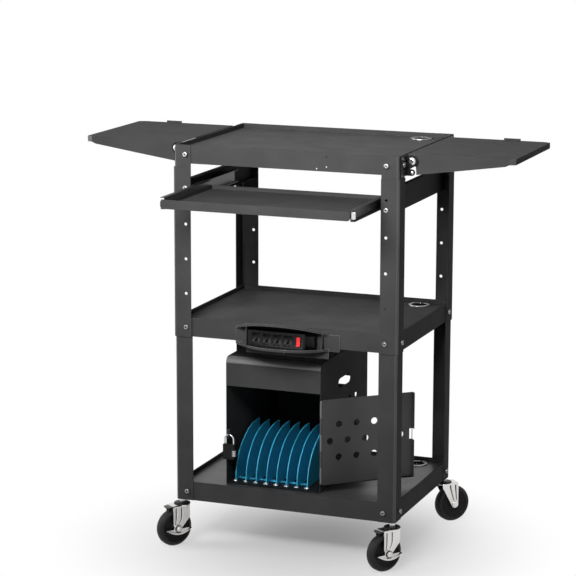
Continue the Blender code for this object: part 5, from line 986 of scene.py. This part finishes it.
for corner in BRAKED:
    swivel, trail, drop = swivel_place(corner)
    fork, pedal = "caster_fork_" + corner, "brake_pedal_" + corner
    tab, pad = block(TAB_LOW, TAB_HIGH, swivel), block(PAD_LOW, PAD_HIGH, swivel)
    add_piece("brake_tab_" + corner, tab, slot_of[fork], fork, LOOKS["black_zinc"], PLASTIC_EDGE)
    add_piece("brake_pad_" + corner, pad, "wheel_rubber", fork, edge=PLASTIC_EDGE)
    upright = swivel @ Matrix.Translation((trail, 0, drop)) @ Matrix.Rotation(math.pi / 2, 4, "X")
    plate = slab(half_moon(), -PLATE_OUT, -PLATE_IN, upright)
    add_piece("pedal_plate_" + corner, plate, slot_of[pedal], pedal, edge=THIN_EDGE)
print("brakes:", len(BRAKED), "of a tab, a pad and a pedal plate each")

# %% [markdown]
# ## Padlock: the shackle
# A small number lock hangs from the staple. Its shackle is a bent steel rod: down one side, round half a
# circle and up the other. A curve with a round bevel would do, but a tube swept along its path in mesh code
# comes with closed ends.

# %% Bend the shackle
LOCK_X, LOCK_Y = -0.1745, -0.1825
WIRE, WIRE_SIDES, BOW_STEPS = 0.0022, 16, 16
HALF_SPAN, LEG_LOW, BOW_Z = 0.0125, 0.1388, 0.1628


def rod_along(points, radius, sides):
    """A round rod through points that lie in one upright plane facing the front, with closed ends."""
    bm = bmesh.new()
    rings = []
    depth = Vector((0, 1, 0))
    turns = [math.tau * k / sides for k in range(sides)]
    for i, point in enumerate(points):
        ahead = points[min(i + 1, len(points) - 1)] - points[max(i - 1, 0)]
        ahead.normalize()
        out = ahead.cross(depth)
        ways = [math.cos(t) * out + math.sin(t) * depth for t in turns]
        rings.append([bm.verts.new(point + radius * way) for way in ways])
    joined(bm, rings)
    bm.faces.new(rings[0][::-1])
    bm.faces.new(rings[-1])
    return settled(bm, Matrix())


turns = [math.pi * i / BOW_STEPS for i in range(BOW_STEPS + 1)]
bow = [at(LOCK_X + HALF_SPAN * math.cos(t), LOCK_Y, BOW_Z + HALF_SPAN * math.sin(t)) for t in turns]
path = [at(LOCK_X + HALF_SPAN, LOCK_Y, LEG_LOW), *bow, at(LOCK_X - HALF_SPAN, LOCK_Y, LEG_LOW)]
shackle = rod_along(path, WIRE, WIRE_SIDES)
node = "padlock_shackle"
add_piece("lock_shackle", shackle, slot_of[node], node, LOOKS["chrome"], replaced=[node])
print("shackle:", len(path), "points")

# %% [markdown]
# ## Padlock: the body and its number wheels
# The body is a cast block with soft edges. Three number wheels with ten flats each look out of its side.
# The lathe turns a wheel whose rows are polygons, and the wheels bear no numbers.

# %% Cast the body and turn the number wheels
BODY_HALF, BODY_HALF_DEPTH, BODY_TALL, LOCK_EDGE = 0.0165, 0.0065, 0.042, 0.0022
DIAL_FLATS, DIAL_RADIUS, DIAL_HALF, DIAL_EDGE = 10, 0.0066, 0.0023, 0.0006
DIAL_X, DIAL_OUT, DIAL_HEIGHTS = -0.1597, 0.0030, (0.1212, 0.1268, 0.1324)

node = "padlock_body"
lock_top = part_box("padlock_body")[1].z
case_low = (LOCK_X - BODY_HALF, CART.y + LOCK_Y - BODY_HALF_DEPTH, lock_top - BODY_TALL)
case_high = (LOCK_X + BODY_HALF, CART.y + LOCK_Y + BODY_HALF_DEPTH, lock_top)
add_piece("lock_body", block(case_low, case_high), slot_of[node], node, edge=LOCK_EDGE, replaced=[node])
half_dial = [(0, DIAL_HALF), (DIAL_RADIUS - DIAL_EDGE, DIAL_HALF, DIAL_FLATS)]
half_dial += [(DIAL_RADIUS, DIAL_HALF - DIAL_EDGE, DIAL_FLATS)]
dial = half_dial + [(radius, -height, *flats) for radius, height, *flats in reversed(half_dial)]
places = [Matrix.Translation(at(DIAL_X, LOCK_Y - DIAL_OUT, z)) for z in DIAL_HEIGHTS]
dials = [lathe(dial, DIAL_FLATS * 2, place) for place in places]
add_piece("lock_dials", merged(dials), "zinc", node, LOOKS["dial_grey"])
print("padlock body, with", len(dials), "number wheels")

# %% [markdown]
# ## The knob of the strip's bracket
# The lower lip of the power strip's bracket is held by one black thumb knob. Knurls round its rim give
# fingers a grip. They are made by letting the radius of the lathe's rows go in and out.

# %% Turn the knob
KNOB_X, KNOB_Z, KNOB_FACE, KNOB_BACK = -0.005, 0.4255, 0.2404, 0.2323
KNURLS, KNURL_WAIST = 24, 0.94
KNOB = [(0, KNOB_FACE), (0.0058, KNOB_FACE), (0.0076, KNOB_FACE - 0.0010), (0.0083, KNOB_FACE - 0.0020)]
KNOB += [(0.0083, KNOB_BACK + 0.0012), (0.0076, KNOB_BACK), (0, KNOB_BACK)]
knob = lathe(KNOB, KNURLS * 2, facing(at(KNOB_X, 0, KNOB_Z), (0, -1, 0)), KNURL_WAIST)
add_piece("bracket_knob", knob, "zinc", "cart", LOOKS["ear_black"])
print("knob:", KNURLS, "knurls")

# %% [markdown]
# ## Slots of the cabinet floor
# Each bay of the cabinet has a small cable slot in its floor. A bright eyelet is pressed into
# every slot, and its thin rim is all that shows. The rim is an oval ring, so the lathe can't turn it.
# Instead each point of its section gives one oval, and faces join each oval to the next.

# %% Press in the eyelets
SLOT_FIRST, SLOT_PITCH, SLOTS, SLOT_Y, FLOOR_TOP = -0.169, 0.029, 8, -0.153, 0.0432
SLOT_HALF_RUN, SLOT_RADIUS, SLOT_END_STEPS = 0.0020, 0.0040, 8
RIM_WIDE, RIM_TALL = 0.0016, 0.0014
RIM_SHARES = ((0, 0), (1, 0), (1, 0.5), (0.7, 1), (0.3, 1), (0, 0.5))


def oval(radius):
    """The outline of a slot whose ends are half circles."""
    points = []
    for end in (1, -1):
        for i in range(SLOT_END_STEPS + 1):
            t = math.pi * (i / SLOT_END_STEPS - 0.5) + (0 if end == 1 else math.pi)
            points.append((end * SLOT_HALF_RUN + radius * math.cos(t), radius * math.sin(t)))
    return points


def eyelet(place):
    """An oval ring. RIM_SHARES gives its section, as shares of RIM_WIDE and RIM_TALL."""
    bm = bmesh.new()
    loops = []
    for across, up in RIM_SHARES:
        outline = oval(SLOT_RADIUS + RIM_WIDE * across)
        loops.append([bm.verts.new((x, y, RIM_TALL * up)) for x, y in outline])
    joined(bm, loops + loops[:1])
    return settled(bm, place)


rims = [eyelet(Matrix.Translation(at(SLOT_FIRST + SLOT_PITCH * i, SLOT_Y, FLOOR_TOP))) for i in range(SLOTS)]
add_piece("slot_eyelets", merged(rims), "zinc", "cart")
print("eyelets:", SLOTS)
